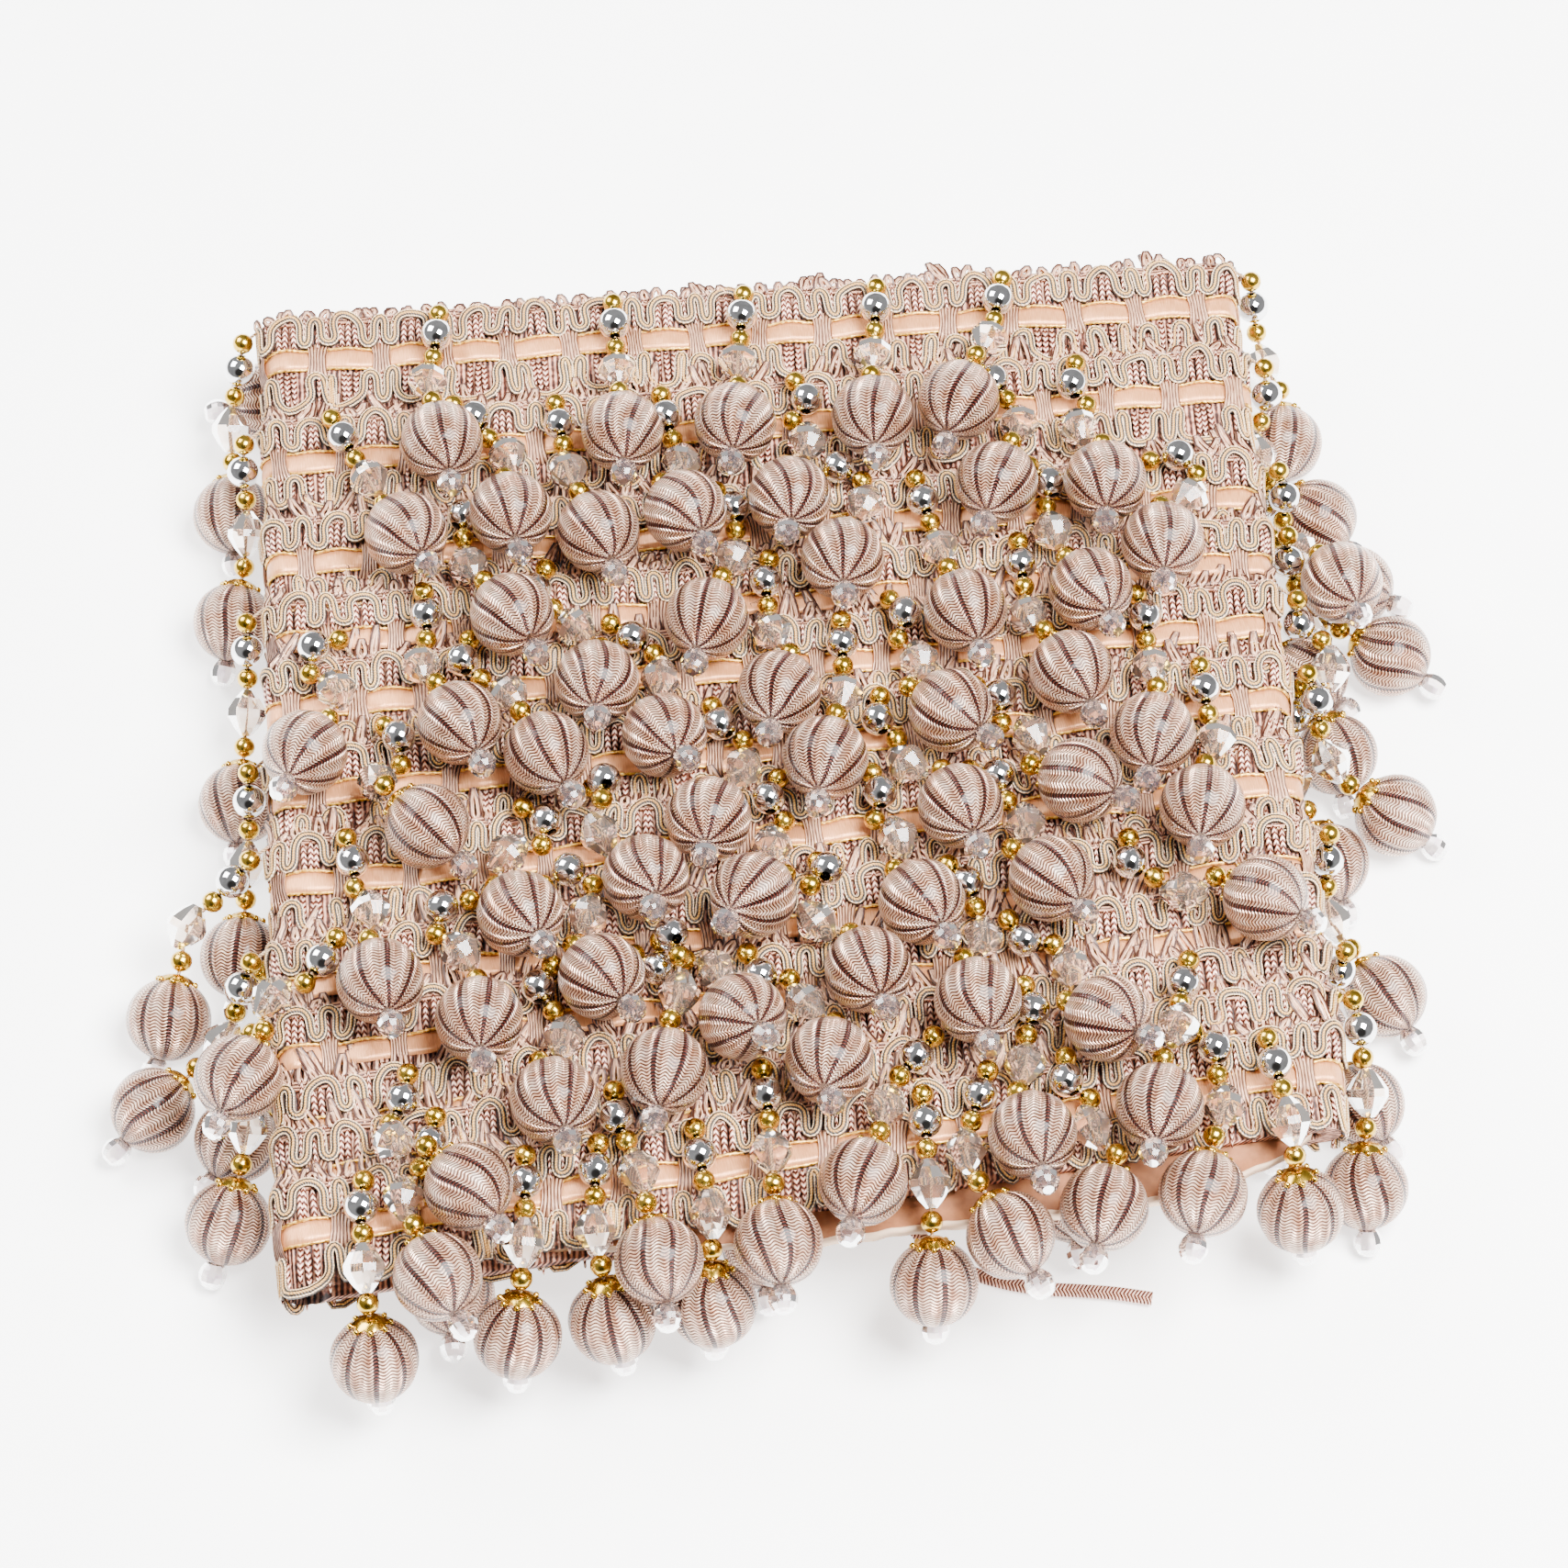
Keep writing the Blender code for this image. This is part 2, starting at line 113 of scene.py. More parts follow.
# Front: each turn's upper edge at the left and right, then its drops as start x, ball x, ball y
TURNS = (
    (125, 127, ((-77, -77, 74), (-34, -34, 73), (-1, -7, 78), (32, 27, 72), (64, 48, 75))),
    (95, 101, ((-106, -87, 52), (-78, -58, 53), (-50, -39, 45), (-24, -22, 52), (12, 3, 56),
               (50, 56, 55), (78, 80, 56))),
    (66, 70, ((-64, -65, 20), (-14, -18, 18), (8, 16, 39), (36, 46, 17), (64, 74, 25),
              (92, 92, 35))),
    (43, 51, ((-84, -75, -1), (-50, -44, 8), (-3, 0, 1), (60, 70, -3))),
    (25, 33, ((-101, -112, -7), (-69, -54, -14), (-43, -29, -9), (16, 12, -20), (24, 38, -5),
              (88, 86, -18))),
    (1, 12, ((-97, -84, -29), (-13, -21, -33), (22, 40, -32), (47, 66, -26), (100, 95, -36))),
    (-23, -11, ((-104, -96, -69), (-66, -58, -52), (-48, -36, -47), (2, -11, -57), (16, 30, -58),
                (40, 56, -54))),
    (-50, -33, ((-104, -125, -89), (-72, -74, -80), (-58, -45, -68), (2, 14, -71), (34, 35, -85),
                (75, 107, -61))),
    (-68, -49, ((-53, -57, -101), (-42, -16, -86), (-34, -35, -97), (-10, 8, -97), (46, 71, -92))),
    (-87, -65, ((-90, -82, -125), (50, 47, -118), (90, 73, -115))),
    (-99, -76, ((-84, -82, -141), (-44, -39, -139), (-12, -10, -135), (32, 11, -127))),
    (-112, -87, ((-101, -100, -148), (-65, -65, -144), (-48, -46, -138), (-27, -26, -139),
                 (25, 25, -135), (44, 44, -134), (62, 62, -130), (84, 85, -130),
                 (104, 111, -128))),
)

# Sides: turn, then ball x, y and z for a drop that starts on that turn's fold
LEFT_DROPS = (
    (0, -131, 83, 10),
    (1, -133, 48, 10),
    (3, -132, -6, 10),
    (5, -134, -46, 10),
    (6, -148, -59, 12),
    (7, -151, -81, 10),
    (7, -133, -92, 14),
    (8, -137, -114, 10),
)
RIGHT_DROPS = (
    (0, 132, 85, 10),
    (1, 138, 64, 12),
    (2, 136, 38, 30),
    (2, 142, 42, 10),
    (3, 159, 18, 10),
    (3, 131, 19, 10),
    (4, 136, -3, 10),
    (5, 144, -21, 22),
    (5, 134, -37, 10),
    (7, 138, -69, 10),
    (9, 128, -100, 10),
    (10, 127, -117, 10),
)

# Where a fold's first and second drop start, as degrees up from its middle
FOLD_TILTS_DEG = (25.0, -11.0)

# Back: rows of drops that lie straight, each row set over by a third of a step
BACK_TURNS = 10
BACK_STEP = 72.0
BACK_FIRST = (-84.0, -60.0, -108.0)
BACK_COUNTS = (3, 3, 4)
BACK_SWUNG_BALL = (-124.0, 118.0)

# The loose tie on the surface: a flat braid's route from under the heading
TIE_ROUTE = (
    (14.0, -99.0, 21.0),
    (15.0, -103.5, 17.5),
    (17.0, -108.0, 12.0),
    (19.5, -112.5, 6.5),
    (22.5, -117.5, 3.0),
    (26.5, -122.5, 1.9),
    (31.5, -127.0, 1.8),
    (37.5, -130.5, 1.8),
    (44.5, -133.0, 1.8),
    (52.0, -134.6, 1.8),
    (60.0, -135.6, 1.8),
    (68.0, -136.8, 1.8),
    (76.0, -138.6, 1.8),
)
TIE_RADIUS = 1.5
TIE_WIDTH = 3.4
TIE_THICK = 1.5
TIE_STEP = 1.5

# How the heap settles: the steps, how far a step sinks and pulls, and the clearances it keeps
START_LIFT = 14.0
LAST_LIFT = 2.0
SETTLE_STEPS = 260
SINK_STEPS = 170
SINK = 0.45
PULL = 0.12
CLEAR = 0.9
SURFACE_CLEAR = 2.0
FACE_INSET = 4.0
CARD_INSET = 2.0
CARD_CLEAR = 2.2
CARD_RISE = 0.5
MIN_BEND = 0.86
BALL_YIELD = 0.3
NEAR = 4.0

# The heading's pattern: arches and bends as centre along, centre below, half width, half height
# and which way they bulge
PERIODS = 32
PERIOD = (FRONT_END + BACK_END) / PERIODS
SCALLOPS = (
    (3.5, 4.7, 3.5, 3.8, -1),
    (8.45, 6.9, 1.45, 2.1, 1),
    (11.35, 4.1, 1.45, 2.2, -1),
    (14.25, 6.9, 1.43, 2.1, 1),
)
WIDE_MIDDLE = SCALLOPS[0][0]
NARROW_MIDDLE = SCALLOPS[2][0]
LOWER_STRETCH = 1.12
RIBBON_TOP = 10.3
RIBBON_BOTTOM = 15.9
LOWER_SHOWS = 19.0
LOOP_CLUMPS = (-12.0, 16.0, 49.0, 52.0, 101.0)
GIMP_LIFT = 1.25
GIMP_PROFILE = ((-1.15, -0.4), (-0.86, 0.55), (-0.48, -0.1), (-0.2, 0.65), (0.2, 0.65),
                (0.48, -0.1), (0.86, 0.55), (1.15, -0.4))
GIMP_PROFILE_BACK = ((-1.15, -0.4), (-0.7, 0.55), (0.7, 0.55), (1.15, -0.4))

SEED = 7

# Where the studio is dark: low at the front, behind the camera
DARK_TOWARDS = (0.0, -0.78, 0.62)


def turn_edge(turn, x):
    """The y of a turn's upper edge at x; past the last turn, the last lower edge."""
    lower = HEADING_WIDTH if turn == len(TURNS) else 0.0
    left, right = TURNS[min(turn, len(TURNS) - 1)][:2]
    share = np.clip((x + FOLD_X) / (2 * FOLD_X), 0.0, 1.0)
    return left + (right - left) * share - lower


def card_edge(x):
    """The y of the card's lower edge at x."""
    table = np.array(CARD_EDGE)
    return np.interp(x, table[:, 0], table[:, 1])


def lay_out():
    """Every drop as group name, root point and where its ball is meant to lie."""
    drops = []
    front_z = CORE_Z + LAYER_HIGH + STRIP_GAP + STRIP_HALF_THICK
    back_z = 2 * CORE_Z - front_z
    reach = LAYER_HIGH + STRIP_GAP + STRIP_HALF_THICK
    for turn, (_, _, balls) in enumerate(TURNS):
        lift = LAST_LIFT if turn == len(TURNS) - 1 else START_LIFT
        for start, x, y in balls:
            root = (start, turn_edge(turn, start) - STRIP_INSET, front_z)
            drops.append((f"fringe_front_{turn + 1:02d}", root, (x, y, front_z + lift)))
    for side, sign, rows in (("left", -1, LEFT_DROPS), ("right", 1, RIGHT_DROPS)):
        seen = []
        for turn, x, y, z in rows:
            tilt = math.radians(FOLD_TILTS_DEG[seen.count(turn)])
            seen.append(turn)
            root_x = sign * (FOLD_X + reach * math.cos(tilt))
            root_z = CORE_Z + reach * math.sin(tilt)
            root = (root_x, turn_edge(turn, root_x) - STRIP_INSET, root_z)
            drops.append((f"fringe_{side}_{turn + 1:02d}", root, (x, y, z)))
    for turn in range(BACK_TURNS):
        for i in range(BACK_COUNTS[turn % 3]):
            start = BACK_FIRST[turn % 3] + BACK_STEP * i
            edge = turn_edge(turn, start) - STRIP_INSET
            ball = (start, edge - REACH)
            if turn == 0 and i == 0:
                ball = BACK_SWUNG_BALL
            name = f"fringe_back_{turn + 1:02d}"
            drops.append((name, (start, edge, back_z), (*ball, BALL_ON_FLOOR)))
    return drops


def push_out(points, half_x, low, high, core_z, clear):
    """Moves points out of a rounded plate that spans half_x each way and y from low to high."""
    core = points.copy()
    core[..., 0] = np.clip(core[..., 0], -half_x, half_x)
    core[..., 1] = np.clip(core[..., 1], low, high)
    core[..., 2] = core_z
    away = points - core
    far = np.maximum(np.linalg.norm(away, axis=-1), 1e-6)
    move = np.maximum(clear - far, 0.0) / far
    return points + away * move[..., None]


def settle(drops):
    """Lays the drops down until they rest on the heading, the surface and each other."""
    along = np.array([s[0] for s in STATIONS])
    radius = np.array([s[1] for s in STATIONS])
    weight = np.ones(len(STATIONS))
    weight[BALL] = BALL_YIELD
    weight[0] = 0.0
    roots = np.array([d[1] for d in drops], float)
    goals = np.array([d[2] for d in drops], float)
    ahead = goals - roots
    span = np.linalg.norm(ahead, axis=1, keepdims=True)
    goals = roots + ahead * np.minimum(1.0, REACH / span)
    share = along / along[BALL]
    points = roots[:, None, :] + (goals - roots)[:, None, :] * share[None, :, None]
    tie = np.array(TIE_ROUTE)
    count = len(drops) * len(STATIONS)
    radii = np.concatenate([np.tile(radius, len(drops)), np.full(len(tie), TIE_RADIUS + 0.3)])
    weights = np.concatenate([np.tile(weight, len(drops)), np.zeros(len(tie))])
    owner = np.concatenate([np.repeat(np.arange(len(drops)), len(STATIONS)),
                            np.full(len(tie), -1)])
    floor = radius.copy()
    floor[BALL] = BALL_ON_FLOOR
    pairs = None
    for step in range(SETTLE_STEPS):
        if step < SINK_STEPS:
            points[:, 1:, 2] -= SINK * (1.0 - 0.5 * step / SINK_STEPS)
            points[:, BALL, :2] += PULL * (goals[:, :2] - points[:, BALL, :2])
        if step % 8 == 0:
            flat = np.concatenate([points.reshape(-1, 3), tie])
            gap = flat[:, None, :] - flat[None, :, :]
            gap = np.sqrt((gap ** 2).sum(-1)) - radii[:, None] - radii[None, :]
            first, second = np.nonzero(np.triu(gap < NEAR, 1) & (owner[:, None] != owner[None, :]))
            keep = (weights[first] + weights[second]) > 0
            pairs = first[keep], second[keep]
        for _ in range(3):
            for i in range(len(STATIONS) - 1):
                join(points, weight, i, i + 1, along[i + 1] - along[i], False)
            for i in range(len(STATIONS) - 2):
                straight = along[i + 2] - along[i]
                if i == GOLD_ABOVE_BALL:
                    join(points, weight, i, i + 2, straight, False)
                else:
                    join(points, weight, i, i + 2, MIN_BEND * straight, True)
            spread_apart(points, tie, count, radii, weights, pairs)
            keep_off(points, radius, floor)
    return points


def join(points, weight, i, j, length, only_push):
    """Brings stations i and j of every drop to their distance."""
    apart = points[:, j] - points[:, i]
    far = np.maximum(np.linalg.norm(apart, axis=1, keepdims=True), 1e-6)
    change = far - length
    if only_push:
        change = np.minimum(change, 0.0)
    step = apart / far * change / (weight[i] + weight[j])
    points[:, i] += weight[i] * step
    points[:, j] -= weight[j] * step


def spread_apart(points, tie, count, radii, weights, pairs):
    """Parts every two beads or balls of different drops that meet."""
    first, second = pairs
    flat = np.concatenate([points.reshape(-1, 3), tie])
    apart = flat[second] - flat[first]
    far = np.maximum(np.linalg.norm(apart, axis=1), 1e-6)
    need = radii[first] + radii[second] + CLEAR - far
    hit = need > 0
    first, second, apart, far, need = first[hit], second[hit], apart[hit], far[hit], need[hit]
    total = weights[first] + weights[second]
    step = apart / far[:, None] * (need / total)[:, None]
    move = np.zeros_like(flat)
    times = np.zeros(len(flat))
    np.add.at(move, first, -step * weights[first][:, None])
    np.add.at(move, second, step * weights[second][:, None])
    np.add.at(times, first, 1)
    np.add.at(times, second, 1)
    move /= np.maximum(times, 1.0)[:, None] ** 0.6
    points += move[:count].reshape(points.shape)


def keep_off(points, radius, floor):
    """Keeps the stations off the heading, the card's free edge and the surface below."""
    free = points[:, 1:]
    low = turn_edge(len(TURNS), free[..., 0]) + FACE_INSET
    high = turn_edge(0, free[..., 0]) - FACE_INSET
    free = push_out(free, FOLD_X, low, high, CORE_Z, radius[1:] + LAYER_HIGH + SURFACE_CLEAR)
    low = card_edge(free[..., 0]) + CARD_INSET
    clear = radius[1:] + CARD_HALF_THICK + CARD_CLEAR
    free = push_out(free, CARD_HALF_WIDTH - CARD_INSET, low, CARD_TOP, CORE_Z + CARD_RISE, clear)
    points[:, 1:] = free
    points[:, 1:, 2] = np.maximum(points[:, 1:, 2], floor[1:])


# Mesh building

def unit(vectors):
    """Vectors at length one."""
    return vectors / np.maximum(np.linalg.norm(vectors, axis=-1, keepdims=True), 1e-9)


def framed(points):
    """Points in millimetres, moved to the frame and turned into metres."""
    return (np.asarray(points, float) - np.array((*CENTRE, 0.0))) * MM


class Gathered:
    """Many small grids of points that become one mesh, with a map of each called strand."""

    def __init__(self):
        self.points = []
        self.faces = []
        self.maps = []
        self.count = 0

    def grid(self, points, across, run, around=True, caps=True):
        """Adds grids: points (grids, rows, columns, 3), the map across (columns + 1 or (grids,
        rows, columns + 1)) and the map's run (grids, rows)."""
        grids, rows, columns = points.shape[:3]
        index = self.count + np.arange(grids * rows * columns).reshape(grids, rows, columns)
        self.points.append(points.reshape(-1, 3))
        self.count += grids * rows * columns
        across = np.broadcast_to(across, (grids, rows, columns + 1))
        run = np.broadcast_to(run, (grids, rows))[..., None] + np.zeros(columns + 1)
        chart = np.stack([across, run], axis=-1)
        last = columns if around else columns - 1
        right = (np.arange(last) + 1) % columns
        here = np.arange(last)
        corners = (index[:, :-1, here], index[:, 1:, here], index[:, 1:, right], index[:, :-1, right])
        charts = (chart[:, :-1, :last], chart[:, 1:, :last], chart[:, 1:, 1:last + 1],
                  chart[:, :-1, 1:last + 1])
        self.faces.append(np.stack(corners, axis=-1).reshape(-1, 4))
        self.maps.append(np.stack(charts, axis=-2).reshape(-1, 2))
        if around and caps:
            for row, order in ((0, 1), (rows - 1, -1)):
                self.faces.append(index[:, row, ::order].reshape(grids, columns))
                self.maps.append(chart[:, row, :columns][:, ::order].reshape(-1, 2))

    def piece(self, name, material, smooth=True):
        """The finished object, in metres and in the frame."""
        mesh = bpy.data.meshes.new(name)
        points = framed(np.concatenate(self.points))
        sizes = np.concatenate([np.full(len(f), f.shape[1]) for f in self.faces])
        corners = np.concatenate([f.ravel() for f in self.faces])
        mesh.vertices.add(len(points))
        mesh.vertices.foreach_set("co", points.ravel())
        mesh.loops.add(len(corners))
        mesh.loops.foreach_set("vertex_index", corners.astype(np.int32))
        mesh.polygons.add(len(sizes))
        starts = np.concatenate([[0], np.cumsum(sizes)[:-1]])
        mesh.polygons.foreach_set("loop_start", starts.astype(np.int32))
        mesh.polygons.foreach_set("use_smooth", np.full(len(sizes), smooth))
        chart = mesh.uv_layers.new(name="strand")
        chart.data.foreach_set("uv", np.concatenate(self.maps).ravel())
        mesh.update(calc_edges=True)
        mesh.validate()
        mesh.materials.append(material)
        made = bpy.data.objects.new(name, mesh)
        bpy.context.scene.collection.objects.link(made)
        return made


def sweep(shapes, centres, normals, profile, width=1.0, height=1.0, start=0.0, caps=True):
    """Sweeps a closed profile of (across, up) points along centres (grids, rows, 3)."""
    profile = np.array(profile, float)
    ahead = unit(np.gradient(centres, axis=1))
    side = unit(np.cross(normals, ahead))
    up = np.cross(ahead, side)
    width = np.broadcast_to(width, centres.shape[:2])[..., None, None]
    height = np.broadcast_to(height, centres.shape[:2])[..., None, None]
    points = (centres[:, :, None] + side[:, :, None] * profile[:, 0, None] * width
              + up[:, :, None] * profile[:, 1, None] * height)
    low, high = profile[:, 0].min(), profile[:, 0].max()
    across = (profile[:, 0] - low) / (high - low)
    across = np.append(across, across[0])
    steps = np.linalg.norm(np.diff(centres, axis=1), axis=2)
    run = np.concatenate([np.zeros((len(centres), 1)), np.cumsum(steps, axis=1)], axis=1)
    shapes.grid(points, across, run + np.reshape(start, (-1, 1)), caps=caps)


def turned(shapes, centres, axes, outline, sides, spin=0.0, squeeze=None, chart=None):
    """Turned shapes: outline rows of (offset along the axis, radius) round each centre."""
    outline = np.array(outline, float)
    level = np.where(np.abs(axes[:, 2:]) < 0.9, (0.0, 0.0, 1.0), (1.0, 0.0, 0.0))
    first = unit(np.cross(axes, level))
    second = np.cross(axes, first)
    turn = np.arange(sides) * 2 * math.pi / sides
    turn = turn + np.reshape(spin, (-1, 1))
    ring = (first[:, None] * np.cos(turn)[..., None] + second[:, None] * np.sin(turn)[..., None])
    radius = np.broadcast_to(outline[:, 1, None], (len(outline), sides))
    radius = radius * (1.0 if squeeze is None else squeeze)
    points = (centres[:, None, None] + axes[:, None, None] * outline[:, 0, None, None]
              + ring[:, None] * radius[None, :, :, None])
    run = np.linspace(0.0, 1.0, len(outline))
    across = np.linspace(0.0, 1.0, sides + 1)
    if chart is not None:
        across = chart(across, run)
    shapes.grid(points, across, run)
    return points


# Materials

class Finish:
    """A node material: a Principled shader and short ways to feed it."""

    def __init__(self, name, **sockets):
        self.material = bpy.data.materials.new(name)
        self.material.use_nodes = True
        self.tree = self.material.node_tree
        self.shader = self.tree.nodes["Principled BSDF"]
        for key, value in sockets.items():
            self.shader.inputs[key.replace("_", " ")].default_value = value
        chart = self.node("ShaderNodeUVMap", uv_map="strand")
        parts = self.node("ShaderNodeSeparateXYZ")
        self.link(chart.outputs["UV"], parts.inputs[0])
        self.across = parts.outputs["X"]
        self.run = parts.outputs["Y"]
        self.place = self.node("ShaderNodeTexCoord").outputs["Object"]

    def node(self, kind, **settings):
        made = self.tree.nodes.new(kind)
        for key, value in settings.items():
            setattr(made, key, value)
        return made

    def link(self, source, target):
        self.tree.links.new(source, target)

    def feed(self, socket, value):
        if isinstance(value, (int, float)):
            socket.default_value = value
        elif isinstance(value, tuple):
            socket.default_value = (*value, 1.0)
        else:
            self.link(value, socket)

    def math(self, operation, a, b=0.0, c=0.0):
        made = self.node("ShaderNodeMath", operation=operation)
        for socket, value in zip(made.inputs, (a, b, c)):
            self.feed(socket, value)
        return made.outputs[0]

    def wave(self, value, cycles, shift=0.0):
        """A smooth wave between 0 and 1, of so many cycles for each unit of the value."""
        angle = self.math("MULTIPLY_ADD", value, cycles * 2 * math.pi, shift)
        return self.math("MULTIPLY_ADD", self.math("SINE", angle), 0.5, 0.5)

    def noise(self, scale, detail=2.0, stretch=None):
        made = self.node("ShaderNodeTexNoise")
        made.inputs["Scale"].default_value = scale
        made.inputs["Detail"].default_value = detail
        place = self.place
        if stretch is not None:
            mapping = self.node("ShaderNodeMapping")
            mapping.inputs["Scale"].default_value = stretch
            chart = self.node("ShaderNodeUVMap", uv_map="strand")
            self.link(chart.outputs["UV"], mapping.inputs["Vector"])
            place = mapping.outputs["Vector"]
        self.link(place, made.inputs["Vector"])
        return made.outputs["Fac"]

    def ramp(self, value, stops):
        made = self.node("ShaderNodeValToRGB")
        self.feed(made.inputs["Fac"], value)
        bar = made.color_ramp.elements
        while len(bar) < len(stops):
            bar.new(0.5)
        for element, (place, colour) in zip(bar, stops):
            element.position = place
            element.color = (*linear(colour), 1.0)
        return made.outputs["Color"]

    def mix(self, share, a, b, kind="MIX"):
        made = self.node("ShaderNodeMix", data_type="RGBA", blend_type=kind)
        self.feed(made.inputs["Factor"], share)
        self.feed(made.inputs[6], a)
        self.feed(made.inputs[7], b)
        return made.outputs[2]

    def colour(self, value):
        self.feed(self.shader.inputs["Base Color"], value)

    def bump(self, height, distance, strength=1.0):
        made = self.node("ShaderNodeBump")
        made.inputs["Strength"].default_value = strength
        made.inputs["Distance"].default_value = distance * MM
        self.feed(made.inputs["Height"], height)
        self.link(made.outputs["Normal"], self.shader.inputs["Normal"])


def linear(colour):
    """A colour of 0 to 255 in the display's scale, as linear light."""
    return tuple(((c / 255 + 0.055) / 1.055) ** 2.4 if c > 10 else c / 255 / 12.92 for c in colour)


def gimp_finish():
    """Corded gimp: pale edge threads and a straw-coloured middle, with painted olive-black shade in the
    groove on each side of the middle, along the cord's rims and in the twist's troughs.
    """
    finish = Finish("gimp_cord", Roughness=0.45, Sheen_Weight=0.08)
    # Across the cord: the pale edge threads and the straw-coloured middle are the cord's own; the
    # near-black bands in each groove and at both rims are painted shade.
    bands_and_gap_shade = finish.ramp(finish.across, (
        (0.0, (26, 16, 6)), (0.06, (70, 48, 24)), (0.09, (250, 234, 204)),
        (0.17, (238, 214, 176)), (0.2, (22, 16, 3)), (0.37, (28, 20, 4)),
        (0.4, (198, 154, 78)), (0.5, (232, 194, 116)), (0.6, (198, 154, 78)),
        (0.63, (28, 20, 4)), (0.8, (22, 16, 3)), (0.83, (238, 214, 176)),
        (0.91, (250, 234, 204)), (0.94, (70, 48, 24)), (1.0, (26, 16, 6))))
    twist = finish.wave(finish.math("MULTIPLY_ADD", finish.across, 1.2, finish.run), 1.5)
    patches = finish.ramp(finish.noise(140.0), ((0.3, (232, 212, 196)), (0.7, (255, 250, 242))))
    # Darker in the twist's troughs, where the bump sinks: painted shade.
    ends = finish.ramp(twist, ((0.0, (206, 178, 148)), (0.7, (255, 255, 255))))
    shade = finish.mix(1.0, bands_and_gap_shade, ends, "MULTIPLY")
    finish.colour(finish.mix(1.0, shade, patches, "MULTIPLY"))
    finish.bump(twist, 0.12, 0.8)
    return finish.material


def thread_finish(name, threads, pale, dark):
    """Silky threads that lie side by side, with painted shade in the dark gaps between them."""
    finish = Finish(name, Metallic=0.2, Roughness=0.34)
    strands = finish.wave(finish.across, threads)
    fibres = finish.noise(1.0, 3.0, (threads * 5.0, 0.35, 1.0))
    # The dark colour is painted shade in the gaps between threads; the pale one is the thread's own.
    bands_and_gap_shade = finish.ramp(strands, ((0.15, dark), (0.55, pale), (1.0, pale)))
    soft = finish.ramp(fibres, ((0.36, (156, 118, 98)), (0.56, (255, 252, 248))))
    finish.colour(finish.mix(1.0, bands_and_gap_shade, soft, "MULTIPLY"))
    finish.bump(finish.math("MULTIPLY_ADD", fibres, 0.6, strands), 0.3, 1.0)
    return finish.material


def lurex_finish(name, stitches):
    """Pink braid with a metallic yarn in short slanting stitches: the palest specks are painted glints,
    and the very dark red gaps between stitches are painted shade.
    """
    finish = Finish(name, Roughness=0.3, Metallic=0.3)
    slant = finish.math("MULTIPLY_ADD", finish.math("PINGPONG", finish.across, 0.5), 1.8, finish.run)
    stitch = finish.wave(slant, stitches)
    specks = finish.noise(900.0, 2.0)
    mixed = finish.math("MULTIPLY_ADD", specks, 0.35, finish.math("MULTIPLY", stitch, 0.7))
    # Darkest stop: painted shade in the gaps between stitches; palest stop: painted glints on the yarn.
    finish.colour(finish.ramp(mixed, (
        (0.24, (44, 8, 6)), (0.4, (150, 78, 58)), (0.62, (218, 154, 128)),
        (0.84, (250, 216, 196)))))
    finish.bump(mixed, 0.3, 0.9)
    return finish.material


def ground_finish():
    """The braid behind the cords, with painted shade: upright stitches of pink and dark red, darkened as
    it lies in the cords' shade.
    """
    finish = Finish("ground_braid", Roughness=0.6)
    upright = finish.wave(finish.across, 0.75)
    specks = finish.noise(700.0, 3.0)
    mixed = finish.math("MULTIPLY_ADD", specks, 0.8, finish.math("MULTIPLY", upright, 0.4))
    # The near-black stop is painted shade; the dark red and pink are the braid's own.
    finish.colour(finish.ramp(mixed, (
        (0.42, (34, 10, 6)), (0.58, (122, 66, 48)), (0.8, (218, 164, 138)))))
    finish.bump(mixed, 0.5, 0.9)
    return finish.material


def satin_finish():
    """Peach satin ribbon: fine weft across it and a soft gloss."""
    finish = Finish("satin_ribbon", Metallic=0.35, Roughness=0.3, Anisotropic=0.5)
    weft = finish.noise(1.0, 2.0, (2.0, 6.0, 1.0))
    finish.colour(finish.ramp(weft, (
        (0.25, (178, 114, 68)), (0.55, (210, 144, 96)), (0.85, (234, 174, 128)))))
    finish.bump(finish.wave(finish.run, 4.0), 0.04, 0.6)
    return finish.material


def gold_edge_finish():
    """Gold lurex picots along the ribbon."""
    finish = Finish("gold_picot", Roughness=0.35, Metallic=0.55)
    specks = finish.noise(1300.0, 2.0)
    finish.colour(finish.ramp(specks, (
        (0.3, (120, 74, 16)), (0.5, (214, 158, 58)), (0.7, (252, 214, 120)))))
    finish.bump(specks, 0.15, 0.8)
    return finish.material


